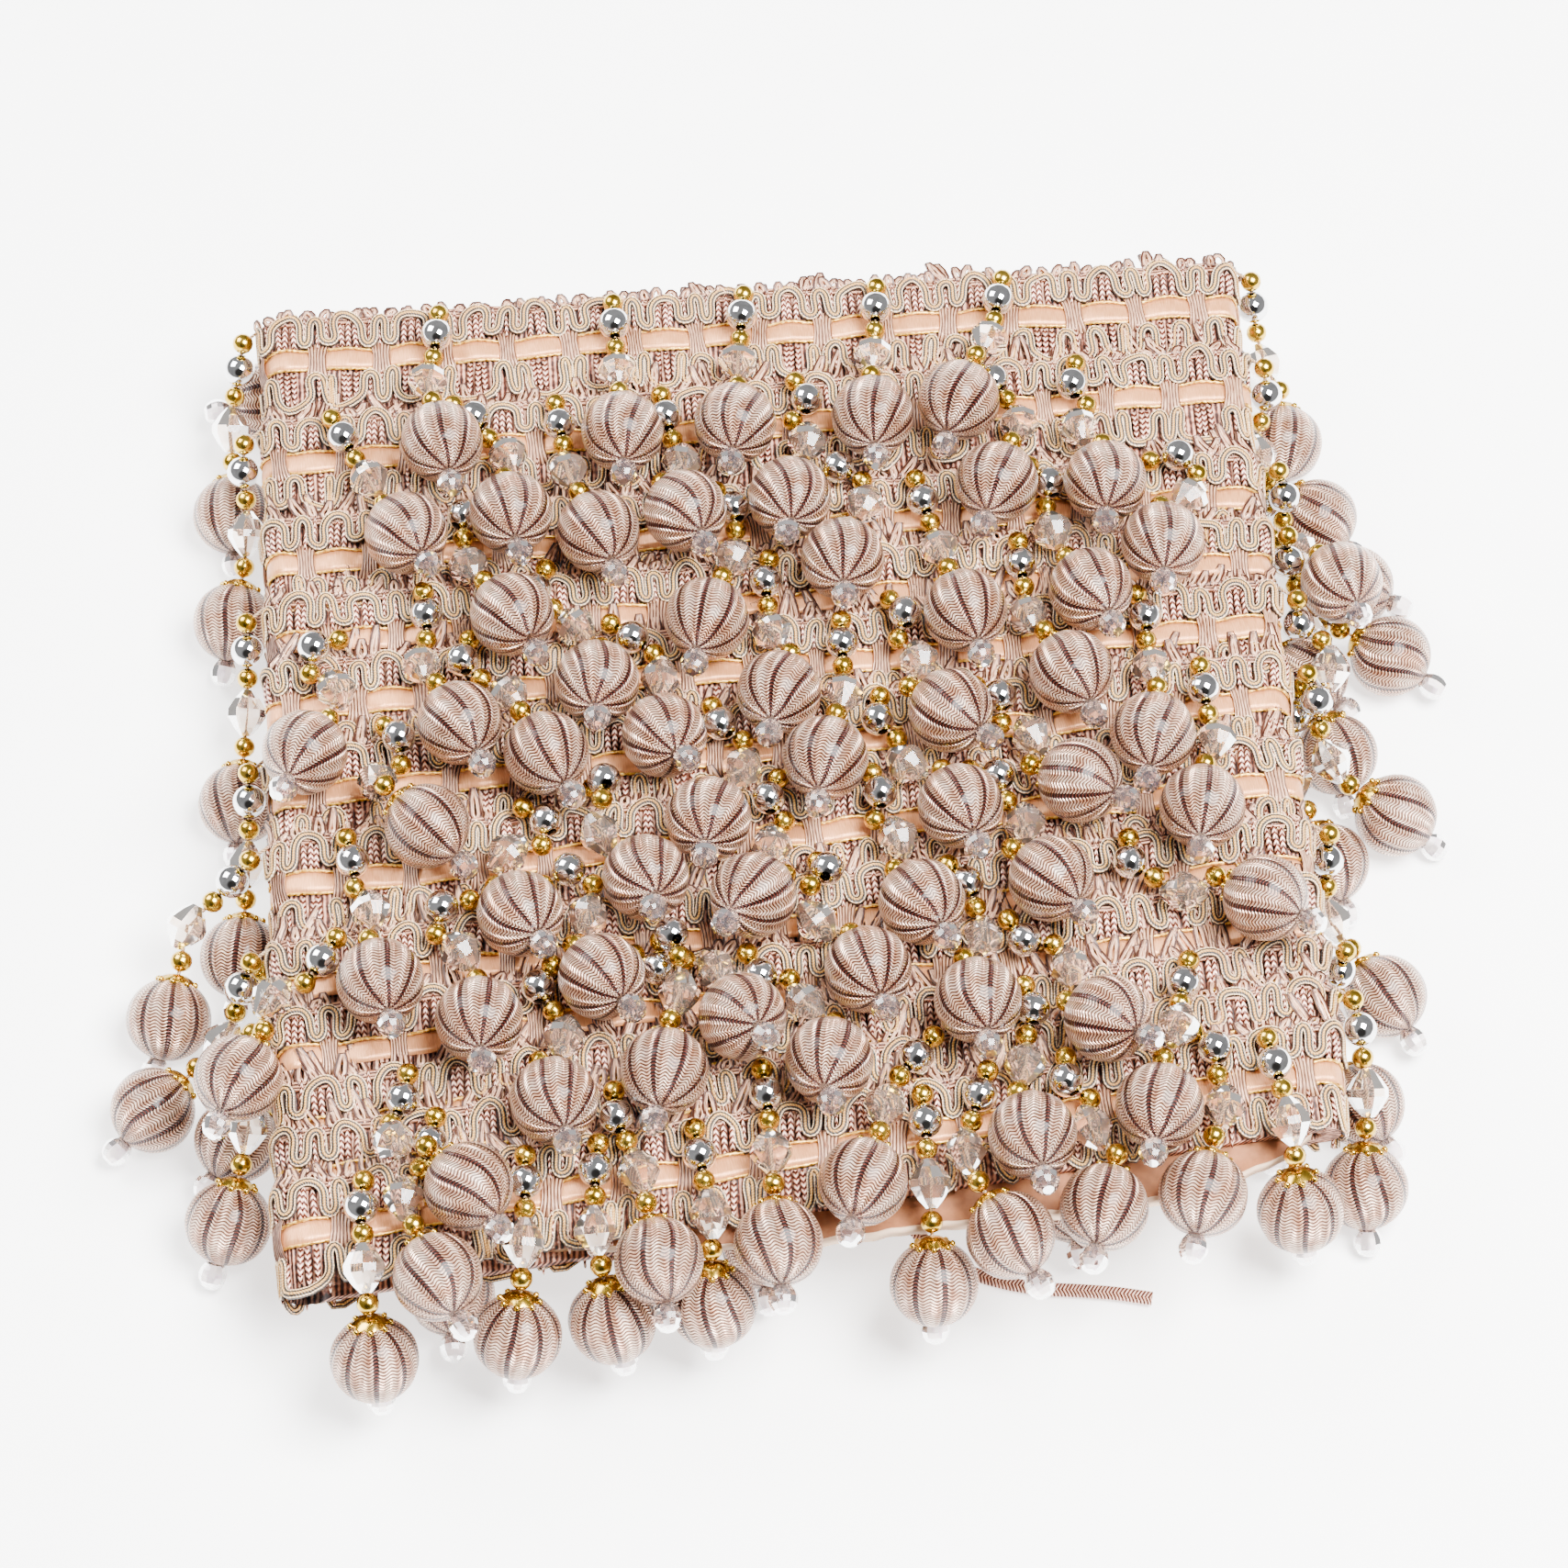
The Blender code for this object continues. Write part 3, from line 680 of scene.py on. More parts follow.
def ball_finish():
    """Glossy thread laid over a ball: dark stripes from pole to pole and fine slanting ribs, whose
    troughs carry painted shade and crests painted glints, with soft painted shade between the lobes.
    """
    finish = Finish("ball_thread", Metallic=0.55, Roughness=0.28, Coat_Weight=0.2,
                    Coat_Roughness=0.12)
    sector = finish.math("MULTIPLY", finish.across, STRIPES)
    lobes = finish.wave(finish.across, STRIPES * LOBES, 0.5 * math.pi)
    zigzag = finish.math("MULTIPLY_ADD", lobes, 0.9, finish.math("MULTIPLY", finish.run, RIBS))
    ribs = finish.wave(zigzag, 1.0)
    edge = finish.math("ABSOLUTE", finish.math("SUBTRACT", finish.math("FRACT", sector), 0.5))
    edge = finish.math("MULTIPLY_ADD", ribs, 0.035, edge)
    pole = finish.math("ABSOLUTE", finish.math("MULTIPLY_ADD", finish.run, 2.0, -1.0))
    width = finish.math("MULTIPLY_ADD", finish.math("POWER", pole, 4.0), 0.12, 0.12)
    stripe = finish.math("LESS_THAN", edge, width)
    fibres = finish.noise(260.0, 3.0)
    # Across each rib: the dark trough is painted shade and the near-white crest a painted glint.
    pale = finish.ramp(ribs, ((0.0, (72, 42, 30)), (0.4, (180, 138, 116)), (0.78, (252, 226, 206))))
    cloudy = finish.ramp(fibres, ((0.35, (214, 184, 162)), (0.62, (255, 252, 248))))
    pale = finish.mix(1.0, pale, cloudy, "MULTIPLY")
    # Soft painted shade in the furrow between two lobes.
    lobe_groove_shade = finish.ramp(lobes, ((0.0, (176, 138, 116)), (0.4, (255, 255, 255))))
    pale = finish.mix(0.6, pale, lobe_groove_shade, "MULTIPLY")
    # The stripes are the thread's own dark red-brown, darker in the rib troughs as painted shade.
    dark = finish.ramp(ribs, ((0.0, (12, 3, 2)), (0.6, (46, 14, 9)), (1.0, (92, 38, 28))))
    finish.colour(finish.mix(stripe, pale, dark))
    finish.bump(finish.math("MULTIPLY_ADD", lobes, 1.0, ribs), 0.3, 1.0)
    return finish.material


def metal_finish(name, deep, bright, roughness, hole=False):
    """Plated beads with faint wear; a hole's ends are painted near-black, as shade in the hole."""
    finish = Finish(name, Metallic=1.0, Roughness=roughness)
    patches = finish.noise(420.0, 3.0)
    colour = finish.ramp(patches, ((0.3, deep), (0.6, bright)))
    if hole:
        # Painted shade: the band round each end of the hole, and the cap over it, are near-black.
        pole = finish.math("ABSOLUTE", finish.math("MULTIPLY_ADD", finish.run, 2.0, -1.0))
        rim = finish.math("GREATER_THAN", pole, 0.93)
        colour = finish.mix(rim, colour, linear((16, 14, 12)))
    finish.colour(colour)
    finish.bump(patches, 0.008, 0.4)
    return finish.material


def clear_finish(name, tint, roughness):
    """Clear cut plastic with faint streaks inside."""
    finish = Finish(name, Roughness=roughness, IOR=1.45, Transmission_Weight=0.96)
    streaks = finish.noise(300.0, 2.0)
    finish.colour(finish.ramp(streaks, ((0.35, tint), (0.75, (250, 240, 232)))))
    finish.bump(streaks, 0.02, 0.4)
    return finish.material


def string_finish():
    """The twisted thread that the beads are strung on, darker in the twist's troughs as painted shade.
    """
    finish = Finish("bead_string", Roughness=0.5, Sheen_Weight=0.2)
    twist = finish.wave(finish.math("ADD", finish.run, finish.across), 1.2)
    # Darker where the twist's bump sinks: painted shade.
    finish.colour(finish.ramp(twist, ((0.0, (96, 70, 48)), (1.0, (198, 160, 118)))))
    finish.bump(twist, 0.1)
    return finish.material


def board_finish():
    """Brown card: fibres, soft creases and a rubbed pale edge."""
    finish = Finish("brown_card", Roughness=0.72)
    fibres = finish.noise(420.0, 4.0)
    creases = finish.noise(60.0, 3.0)
    mixed = finish.math("MULTIPLY_ADD", creases, 0.6, finish.math("MULTIPLY", fibres, 0.4))
    brown = finish.ramp(mixed, ((0.3, (108, 62, 34)), (0.5, (140, 86, 50)), (0.7, (166, 110, 72))))
    edge = finish.math("GREATER_THAN", finish.across, 0.93)
    finish.colour(finish.mix(finish.math("MULTIPLY", edge, 0.55), brown, linear((240, 214, 184))))
    finish.bump(mixed, 0.5, 0.6)
    return finish.material


def floor_finish():
    """Plain pale paper."""
    finish = Finish("pale_floor", Roughness=0.9)
    grain = finish.noise(40.0, 2.0)
    finish.colour(finish.ramp(grain, ((0.3, (248, 248, 247)), (0.7, (251, 251, 250)))))
    finish.shader.inputs["Emission Color"].default_value = (1.0, 1.0, 1.0, 1.0)
    finish.shader.inputs["Emission Strength"].default_value = 1.8
    return finish.material


# The wound heading

def layer(turn, x, below):
    """How far the heading's surface lies from the card's middle plane."""
    pitch = turn_edge(turn, x) - turn_edge(turn + 1, x)
    share = np.clip(below / pitch, 0.0, 1.0)
    on_turn = LAYER_HIGH + (LAYER_LOW - LAYER_HIGH) * share
    if turn == 0:
        above = LAYER_HIGH + 0.35 * below
    else:
        before = turn_edge(turn - 1, x) - turn_edge(turn, x)
        under = LAYER_LOW + (LAYER_HIGH - LAYER_LOW) * np.clip(-below / before, 0.0, 1.0)
        above = np.maximum(under, LAYER_HIGH + 1.5 * below)
    return np.where(below < 0.0, above, on_turn)


def wound(turn, along, below, lift):
    """Points that lie `lift` over a turn of the heading, and the surface's normals there."""
    side = np.where(along < 0.0, -1.0, 1.0)
    run = np.abs(along)
    angle = np.clip((run - FOLD_X) / LAYER_HIGH, 0.0, math.pi)
    core = np.where(run < FOLD_X, run, np.where(run < FRONT_END, FOLD_X, FOLD_X - (run - FRONT_END)))
    core = side * core
    normal = np.stack([side * np.sin(angle), np.zeros_like(angle), np.cos(angle)], axis=-1)
    flat = np.stack([core, turn_edge(turn, core) - below, np.full_like(core, CORE_Z)], axis=-1)
    return flat + normal * (layer(turn, core, below) + lift)[..., None], normal


def sway(draw, along, size, shortest=9.0):
    """A small uneven wander along a turn."""
    total = np.zeros_like(along)
    for length in (shortest, shortest * 1.9, shortest * 4.3):
        total += np.sin(along * 2 * math.pi / length + draw.uniform(0, 2 * math.pi))
    return total * size / 2.0


def scallop_row(start, count, steps):
    """A row of scallops as (along, below) points."""
    points = []
    for i in range(count):
        for middle, deep, half_width, half_height, bulge in SCALLOPS:
            turns = steps if half_width < 2.0 else steps + 2
            for t in np.linspace(0.0, math.pi, turns + 1):
                along = start + i * PERIOD + middle - half_width * math.cos(t)
                points.append((along, deep + bulge * half_height * math.sin(t)))
    return np.array(points)


def turn_start(turn):
    """Where a turn's first wide arch starts, so that the arches of the turns don't line up."""
    return -FRONT_END + (turn * 0.37 % 1.0 - 1.0) * PERIOD


def lower_shows(turn):
    """Whether the next turn leaves the lower scallops in sight."""
    return max(turn_edge(turn, x) - turn_edge(turn + 1, x) for x in (-FOLD_X, FOLD_X)) > LOWER_SHOWS


def make_gimp(places):
    """The corded scallops of every turn: an upper row and, where it shows, a lower one."""
    draw = np.random.default_rng(SEED)
    shapes = {place: Gathered() for place in places}
    for turn in range(len(TURNS)):
        for lower in (False, True):
            if lower and not lower_shows(turn):
                continue
            for place, (low, high, steps) in places.items():
                path = scallop_row(turn_start(turn), PERIODS + 2, steps)
                along, below = path[:, 0], path[:, 1] * (LOWER_STRETCH if lower else 1.0)
                below = HEADING_WIDTH - below if lower else below
                inside = (along >= low - 0.5) & (along <= high + 0.5)
                along, below = along[inside][None], below[inside][None]
                along = along + sway(draw, along, 0.6, 11.0)
                below = below + sway(draw, along, 0.75, 12.0)
                along = along + 0.13 * (below - 5.0) * sway(draw, along, 1.0, 15.0)
                lift = GIMP_LIFT + sway(draw, along, 0.35, 7.0)
                centres, normals = wound(turn, along, below, lift)
                sweep(shapes[place], centres, normals,
                      GIMP_PROFILE if place == "front" else GIMP_PROFILE_BACK)
    return shapes


def periods_in(turn, low, high, middle):
    """Where a motif at `middle` of each period lies along a turn, between two limits."""
    found = turn_start(turn) + middle + PERIOD * np.arange(PERIODS + 2)
    return found[(found >= low) & (found < high)]


def make_fingers(places):
    """Upright lurex fingers inside the arches and bends."""
    draw = np.random.default_rng(SEED + 1)
    shapes = {place: Gathered() for place in places}
    profile = ((-1.0, 0.0), (-0.45, 1.0), (0.45, 1.0), (1.0, 0.0))
    fingers = [(WIDE_MIDDLE - 1.7, 2.7, 9.9, 0.84), (WIDE_MIDDLE, 1.9, 9.9, 0.84),
               (WIDE_MIDDLE + 1.7, 2.7, 9.9, 0.84), (NARROW_MIDDLE, 3.2, 10.0, 0.55),
               (SCALLOPS[1][0], 0.4, 7.8, 0.5), (SCALLOPS[3][0], 0.4, 7.8, 0.5)]
    for turn in range(len(TURNS)):
        for lower in (False, True):
            if lower and not lower_shows(turn):
                continue
            for place, (low, high, steps) in places.items():
                for middle, top, bottom, half in fingers:
                    starts = periods_in(turn, low, high, middle)[:, None]
                    rows = np.linspace(0.0, 1.0, 4 if steps > 5 else 3)[None]
                    below = top + (bottom - top) * rows + draw.uniform(-0.4, 0.4, starts.shape)
                    if lower:
                        below = HEADING_WIDTH - below * LOWER_STRETCH
                    lean = draw.uniform(-0.6, 0.6, starts.shape)
                    along = starts + lean * (rows - 0.5) + sway(draw, starts, 0.4, 11.0)
                    lift = 0.25 + 0.5 * np.sin(rows * math.pi) + draw.uniform(0.0, 0.35, starts.shape)
                    centres, normals = wound(turn, along, below, lift)
                    width = half * (1.0 - 0.45 * (1.0 - rows) ** 4 - 0.2 * rows ** 4)
                    sweep(shapes[place], centres, normals, profile, width, 0.5, starts)
    return shapes


def make_bundles(places):
    """Bundles of silky thread that cross the ribbon at each narrow arch."""
    draw = np.random.default_rng(SEED + 2)
    shapes = {place: Gathered() for place in places}
    threads = 6
    ridge = [(2.0 * i / (2 * threads) - 1.0, 0.34 if i % 2 else 0.0) for i in range(2 * threads + 1)]
    profile = ridge + [(0.9, -0.25), (-0.9, -0.25)]
    for turn in range(len(TURNS)):
        for place, (low, high, steps) in places.items():
            starts = periods_in(turn, low, high, NARROW_MIDDLE)[:, None]
            rows = np.linspace(0.0, 1.0, 6 if steps > 5 else 4)[None]
            below = 8.2 + (18.4 - 8.2) * rows
            lean = draw.uniform(-0.9, 0.9, starts.shape)
            along = starts + lean * (rows - 0.5) + 0.1 * draw.normal(size=starts.shape)
            lift = 0.25 + 1.0 * np.sin(rows * math.pi) ** 0.7 + draw.uniform(-0.1, 0.2, starts.shape)
            half = 1.95 + 0.95 * (2 * rows - 1.0) ** 2 + draw.uniform(-0.2, 0.3, starts.shape)
            centres, normals = wound(turn, along, below, lift)
            sweep(shapes[place], centres, normals, profile, half, 1.0, starts)
    return shapes


def make_loops(places):
    """Leaf-shaped loops of flat chain that stand along each turn's upper edge."""
    draw = np.random.default_rng(SEED + 3)
    shapes = {place: Gathered() for place in places}
    profile = ((-1.0, -0.1), (-0.62, 0.34), (-0.2, 0.1), (0.2, 0.1), (0.62, 0.34), (1.0, -0.1))
    for turn in range(len(TURNS)):
        for place, (low, high, steps) in places.items():
            count = int((high - low) / (PERIOD * (0.14 if steps > 5 else 0.5)))
            starts = np.linspace(low, high, count, endpoint=False)[:, None]
            starts = starts + draw.uniform(0.2, 3.6, starts.shape)
            tall = draw.uniform(1.0, 8.5, starts.shape)
            if turn == 0:
                clump = [np.exp(-((starts - middle) / 2.6) ** 2) for middle in LOOP_CLUMPS]
                tall = draw.uniform(0.0, 1.0, starts.shape) + draw.uniform(3.0, 5.5) * sum(clump)
            half = draw.uniform(0.75, 1.3, starts.shape)
            lean = draw.uniform(-0.6, 0.6, starts.shape)
            rise = draw.uniform(0.2, 1.7, starts.shape) ** 2 * 0.75
            angle = np.linspace(-0.93 * math.pi, 0.93 * math.pi, 8 if steps > 5 else 6)[None]
            up = 0.5 + 0.5 * np.cos(angle)
            below = 1.6 - (tall + 1.6) * up
            along = starts + half * np.sin(angle) * (1.15 - 0.5 * up) - lean * (below - 1.6)
            lift = 0.55 + rise * up
            centres, normals = wound(turn, along, below, lift)
            sweep(shapes[place], centres, normals, profile, 0.72, 1.1, starts)
    return shapes


def make_edge(places):
    """The narrow braid along each turn's upper edge, which the drops are sewn to."""
    draw = np.random.default_rng(SEED + 4)
    shapes = {place: Gathered() for place in places}
    profile = ((-1.4, 0.0), (-0.9, 0.8), (0.0, 0.55), (0.9, 0.8), (1.4, 0.0))
    for turn in range(len(TURNS)):
        for place, (low, high, steps) in places.items():
            along = np.linspace(low, high, int((high - low) / 2.0))[None]
            below = STRIP_INSET + 0.6 + sway(draw, along, 0.25)
            centres, normals = wound(turn, along, below, np.full_like(along, 0.1))
            sweep(shapes[place], centres, normals, profile)
    return shapes


def make_ribbon(places):
    """The satin ribbon, which swells between the bundles and is drawn in under them."""
    draw = np.random.default_rng(SEED + 5)
    shapes = {place: Gathered() for place in places}
    half = 0.5 * (RIBBON_BOTTOM - RIBBON_TOP)
    profile = ((-half, -0.2), (-half, 0.08), (-0.4 * half, 0.3), (0.4 * half, 0.3), (half, 0.08),
               (half, -0.2))
    for turn in range(len(TURNS)):
        for place, (low, high, steps) in places.items():
            along = np.linspace(low, high, int((high - low) / (1.5 if steps > 5 else 2.4)))[None]
            phase = (along - turn_start(turn) - NARROW_MIDDLE) / PERIOD
            swell = 0.5 - 0.5 * np.cos(2 * math.pi * phase)
            below = 0.5 * (RIBBON_TOP + RIBBON_BOTTOM) + sway(draw, along, 0.35, 19.0)
            lift = 0.35 + 0.75 * swell ** 1.5 + sway(draw, along, 0.12, 5.0)
            centres, normals = wound(turn, along, below, lift)
            sweep(shapes[place], centres, normals, profile, 0.86 + 0.14 * swell)
    return shapes


def make_picots(places):
    """The bumpy gold edges of the ribbon."""
    draw = np.random.default_rng(SEED + 5)
    shapes = {place: Gathered() for place in places}
    half = 0.5 * (RIBBON_BOTTOM - RIBBON_TOP)
    profile = ((-1.0, 0.0), (0.0, 1.0), (1.0, 0.0), (0.0, -1.0))
    for turn in range(len(TURNS)):
        for place, (low, high, steps) in places.items():
            step = 0.85 if steps > 5 else 2.4
            ribbon = np.linspace(low, high, int((high - low) / (1.5 if steps > 5 else 2.4)))[None]
            wander = sway(draw, ribbon, 0.35, 19.0)
            flutter = sway(draw, ribbon, 0.12, 5.0)
            along = np.linspace(low, high, int((high - low) / step))[None]
            wander = np.interp(along, ribbon[0], wander[0])
            flutter = np.interp(along, ribbon[0], flutter[0])
            swell = 0.5 - 0.5 * np.cos(2 * math.pi * (along - turn_start(turn) - NARROW_MIDDLE) / PERIOD)
            for side in (-1, 1) if lower_shows(turn) else (-1,):
                below = 0.5 * (RIBBON_TOP + RIBBON_BOTTOM) + wander
                below = below + side * (half * (0.86 + 0.14 * swell) + 0.1)
                lift = 0.45 + 0.75 * swell ** 1.5 + flutter
                centres, normals = wound(turn, along, below, lift)
                bead = 0.34 + 0.2 * (np.arange(along.shape[1]) % 2)[None]
                sweep(shapes[place], centres, normals, profile, bead, bead)
    return shapes


def make_ground():
    """The body of the wound heading behind its cords: one closed form round the card."""
    shapes = Gathered()
    count = 150
    front = np.linspace(-FRONT_END, BACK_END, count, endpoint=False)
    rings = []
    runs = []
    for turn in range(len(TURNS)):
        first = 1.6 if turn == 0 else 0.3
        for share in (0.0, 0.5, 1.0):
            pitch = turn_edge(turn, 0.0) - turn_edge(turn + 1, 0.0)
            below = first + (pitch - first) * share
            if turn == len(TURNS) - 1 and share == 1.0:
                below -= 1.8
            points, _ = wound(turn, front, np.full_like(front, below), np.full_like(front, 0.0))
            rings.append(points)
            runs.append(turn * HEADING_WIDTH + below)
    for turn in (len(TURNS), 0):
        side = np.where(front < 0.0, -1.0, 1.0)
        run = np.abs(front)
        angle = np.clip((run - FOLD_X) / LAYER_HIGH, 0.0, math.pi)
        core = np.where(run < FOLD_X, run,
                        np.where(run < FRONT_END, FOLD_X, FOLD_X - (run - FRONT_END)))
        core = side * core * SLOT_HALF_WIDTH / FOLD_X
        inset = 1.8 if turn else -1.6
        y = turn_edge(turn, side * core) + inset
        points = np.stack([core + side * np.sin(angle) * SLOT_HALF_THICK,
                           y, CORE_Z + np.cos(angle) * SLOT_HALF_THICK], axis=-1)
        rings.append(points)
        runs.append(0.0)
    rings.append(rings[0])
    runs.append(0.0)
    points = np.stack(rings)[None]
    across = np.linspace(0.0, FRONT_END + BACK_END, count + 1)
    shapes.grid(points, across, np.array(runs)[None], caps=False)
    return shapes


# The drops

STRIPES = 9
LOBES = 2
RIBS = 36.0


def ball_shapes(stations, sides, rows, draw):
    """The thread-covered balls, with soft lobes and a small waist at each pole."""
    shapes = Gathered()
    centres = stations[:, BALL]
    axes = unit(centres - stations[:, GOLD_ABOVE_BALL])
    steps = np.linspace(0.12, math.pi - 0.12, rows)
    outline = np.stack([-9.7 * np.cos(steps), 10.0 * np.sin(steps) ** 0.96], axis=1)
    for centre, axis in zip(centres, axes):
        phase, twist, bend = draw.uniform(0, 1), draw.uniform(-0.07, 0.07), draw.uniform(-0.02, 0.02)

        def chart(across, run):
            lean = twist * (run - 0.5) + bend * np.sin(run * 2 * math.pi)
            return across[None, :] + phase + lean[:, None]

        turn = np.linspace(0.0, 1.0, sides, endpoint=False)
        placed = chart(turn, np.linspace(0.0, 1.0, rows))
        lobe = 1.0 + 0.011 * np.cos(2 * math.pi * STRIPES * placed)
        points = turned(shapes, centre[None], axis[None], outline, sides, 0.0, lobe, chart)
        points[..., 2] = np.maximum(points[..., 2], 0.05)
    return shapes


def cap_shapes(stations, sides):
    """The gold caps over the balls: small dishes with a beaded, scalloped rim."""
    shapes = Gathered()
    centres = stations[:, BALL]
    axes = unit(centres - stations[:, GOLD_ABOVE_BALL])
    turn = np.arange(sides) * 2 * math.pi / sides
    petals = np.cos(turn * 8)
    outline = ((-10.9, 0.9), (-10.7, 2.0), (-10.1, 3.1), (-9.1, 4.1), (-8.9, 4.3), (-8.7, 3.9),
               (-9.6, 2.6), (-9.7, 0.8))
    squeeze = np.stack([1.0 + weight * petals for weight in (0, 0.04, 0.1, 0.14, 0.15, 0.12, 0.04, 0)])
    turned(shapes, centres, axes, outline, sides, 0.0, squeeze)
    level = np.where(np.abs(axes[:, 2:]) < 0.9, (0.0, 0.0, 1.0), (1.0, 0.0, 0.0))
    first = unit(np.cross(axes, level))
    second = np.cross(axes, first)
    for i in range(8):
        angle = 0.25 * math.pi * i
        place = centres + axes * -8.95 + 4.5 * (first * math.cos(angle) + second * math.sin(angle))
        turned(shapes, place, axes, round_outline(0.85, 4), 5)
    return shapes


def bead_shapes(stations, picks, outline, sides, draw, twist=1.0):
    """Beads of one outline, threaded on the drops at the given stations."""
    shapes = Gathered()
    for i in picks:
        axes = unit(stations[:, min(i + 1, len(STATIONS) - 1)] - stations[:, i - 1])
        if i in (GOLD_ABOVE_BALL, len(STATIONS) - 1):
            axes = unit(stations[:, BALL] - stations[:, GOLD_ABOVE_BALL])
        spin = draw.uniform(0.0, twist, len(stations))
        turned(shapes, stations[:, i], axes, outline, sides, spin)
    return shapes


def string_shapes(stations):
    """The thread through each drop's beads, from the heading to the ball."""
    shapes = Gathered()
    path = stations[:, :BALL + 1].copy()
    fine = np.linspace(0.0, BALL, 2 * BALL + 1)
    whole = np.arange(BALL + 1)
    points = np.stack([[np.interp(fine, whole, drop[:, i]) for i in range(3)] for drop in path])
    points = points.transpose(0, 2, 1)
    normals = np.broadcast_to((0.0, 0.0, 1.0), points.shape)
    profile = ((-0.45, 0.0), (0.0, 0.45), (0.45, 0.0), (0.0, -0.45))
    sweep(shapes, points, normals + 0.05, profile)
    return shapes


def round_outline(radius, rows, squash=1.0, first=0.22):
    """The outline of a round bead with a small hole at each end."""
    steps = np.linspace(first, math.pi - first, rows)
    return [(-radius * squash * math.cos(t), radius * math.sin(t)) for t in steps]


CRYSTAL_OUTLINE = ((-5.6, 1.3), (-3.6, 3.1), (-0.9, 4.8), (0.9, 4.8), (3.6, 3.1), (5.6, 1.3))
TIP_OUTLINE = ((-3.3, 1.5), (-2.7, 2.3), (-1.4, 3.1), (0.0, 3.4), (1.4, 3.1), (2.7, 2.3), (3.3, 1.3))


# The card and the tie

def make_card():
    """The flat card, whose lower edge shows and curls, with a few soft creases."""
    draw = np.random.default_rng(SEED + 8)
    shapes = Gathered()
    table = np.array(CARD_EDGE)
    xs = np.linspace(-CARD_HALF_WIDTH, CARD_HALF_WIDTH, 220)
    edge = np.interp(xs, table[:, 0], table[:, 1]) + sway(draw, xs, 0.25, 6.0)
    curl = np.interp(xs, table[:, 0], table[:, 2])
    crease = sway(draw, xs, 0.35, 14.0)
    bend = np.maximum(turn_edge(len(TURNS), xs) - 0.6, edge + 1.2)
    rows = []
    for share in (0.0, 0.2, 0.4, 0.6, 0.8, 0.93, 1.0):
        y = bend + (edge - bend) * share
        z = CARD_HALF_THICK + curl * share ** 2 + crease * share * 0.5
        rows.append((y, z, share))
    upper = [np.stack([xs, y, CORE_Z + z], axis=1) for y, z, _ in rows]
    lower = [np.stack([xs, y, CORE_Z + z - CARD_HALF_THICK * 2 + curl * -0.4 * share], axis=1)
             for y, z, share in rows]
    top = np.full_like(xs, CARD_TOP)
    head = [np.stack([xs, top, np.full_like(xs, CORE_Z + CARD_HALF_THICK * side)], axis=1)
            for side in (1, -1)]
    ring = [head[0]] + upper + lower[::-1] + [head[1]]
    points = np.stack(ring, axis=1)[None]
    across = [0.0] + [0.5 + 0.5 * r[2] for r in rows]
    across = across + [1.0 - 0.01 * i for i in range(len(rows))] + [0.0, 0.0]
    shapes.grid(points, np.array(across), xs[None])
    return shapes


def smooth_route(points, step):
    """Points at an even step along a smooth curve through the given ones."""
    points = np.array(points, float)
    ends = 2 * points[0] - points[1], 2 * points[-1] - points[-2]
    around = np.vstack([ends[0], points, ends[1]])
    fine = []
    for a, b, c, d in zip(around, around[1:], around[2:], around[3:]):
        for t in np.arange(0.0, 1.0, 0.1):
            fine.append(0.5 * (2 * b + (c - a) * t + (2 * a - 5 * b + 4 * c - d) * t ** 2
                               + (3 * b - a - 3 * c + d) * t ** 3))
    fine.append(points[-1])
    fine = np.array(fine)
    run = np.concatenate([[0.0], np.cumsum(np.linalg.norm(np.diff(fine, axis=0), axis=1))])
    places = np.linspace(0.0, run[-1], max(2, round(run[-1] / step) + 1))
    return np.stack([np.interp(places, run, fine[:, i]) for i in range(3)], axis=1)


def make_tie(finish):
    """The loose end of the tie: a flat braid of two strands."""
    shapes = Gathered()
    route = smooth_route(TIE_ROUTE, TIE_STEP)
    turns = np.linspace(0.0, 2 * math.pi, 14, endpoint=False)
    profile = [(0.5 * TIE_WIDTH * math.sin(t),
                0.5 * TIE_THICK * math.cos(t) * (0.55 + 0.9 * abs(math.sin(t)))) for t in turns]
    normals = np.broadcast_to((0.15, 0.0, 1.0), route[None].shape)
    sweep(shapes, route[None], normals, profile)
    tie = shapes.piece("tie_braid", finish)
    settle_piece(tie, "braid", "tie_end")
    return tie


# The scene

def settle_piece(piece, slot, *nodes):
    """A piece rides on the only body and stands for its nodes; the slot it is given is not used."""
    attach(piece, "root")
    if nodes:
        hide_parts(*nodes)


def add_camera():
    """The camera at the photograph's place."""
    elevation, azimuth = math.radians(ELEVATION_DEG), math.radians(AZIMUTH_DEG)
    ahead = Vector((math.sin(azimuth) * math.cos(elevation), math.cos(azimuth) * math.cos(elevation),
                    -math.sin(elevation)))
    right = Vector((math.cos(azimuth), -math.sin(azimuth), 0.0))
    up = right.cross(ahead)
    data = bpy.data.cameras.new("photo_camera")
    data.sensor_width = SENSOR_MM
    data.lens = FOCAL_PX / IMAGE_SIZE * SENSOR_MM
    data.clip_start = 0.05
    camera = bpy.data.objects.new("photo_camera", data)
    turn = Matrix((right, up, -ahead)).transposed()
    place = Vector(CAMERA_TARGET) - ahead * CAMERA_DISTANCE
    camera.matrix_world = Matrix.Translation(place) @ turn.to_4x4()
    bpy.context.scene.collection.objects.link(camera)
    bpy.context.scene.camera = camera


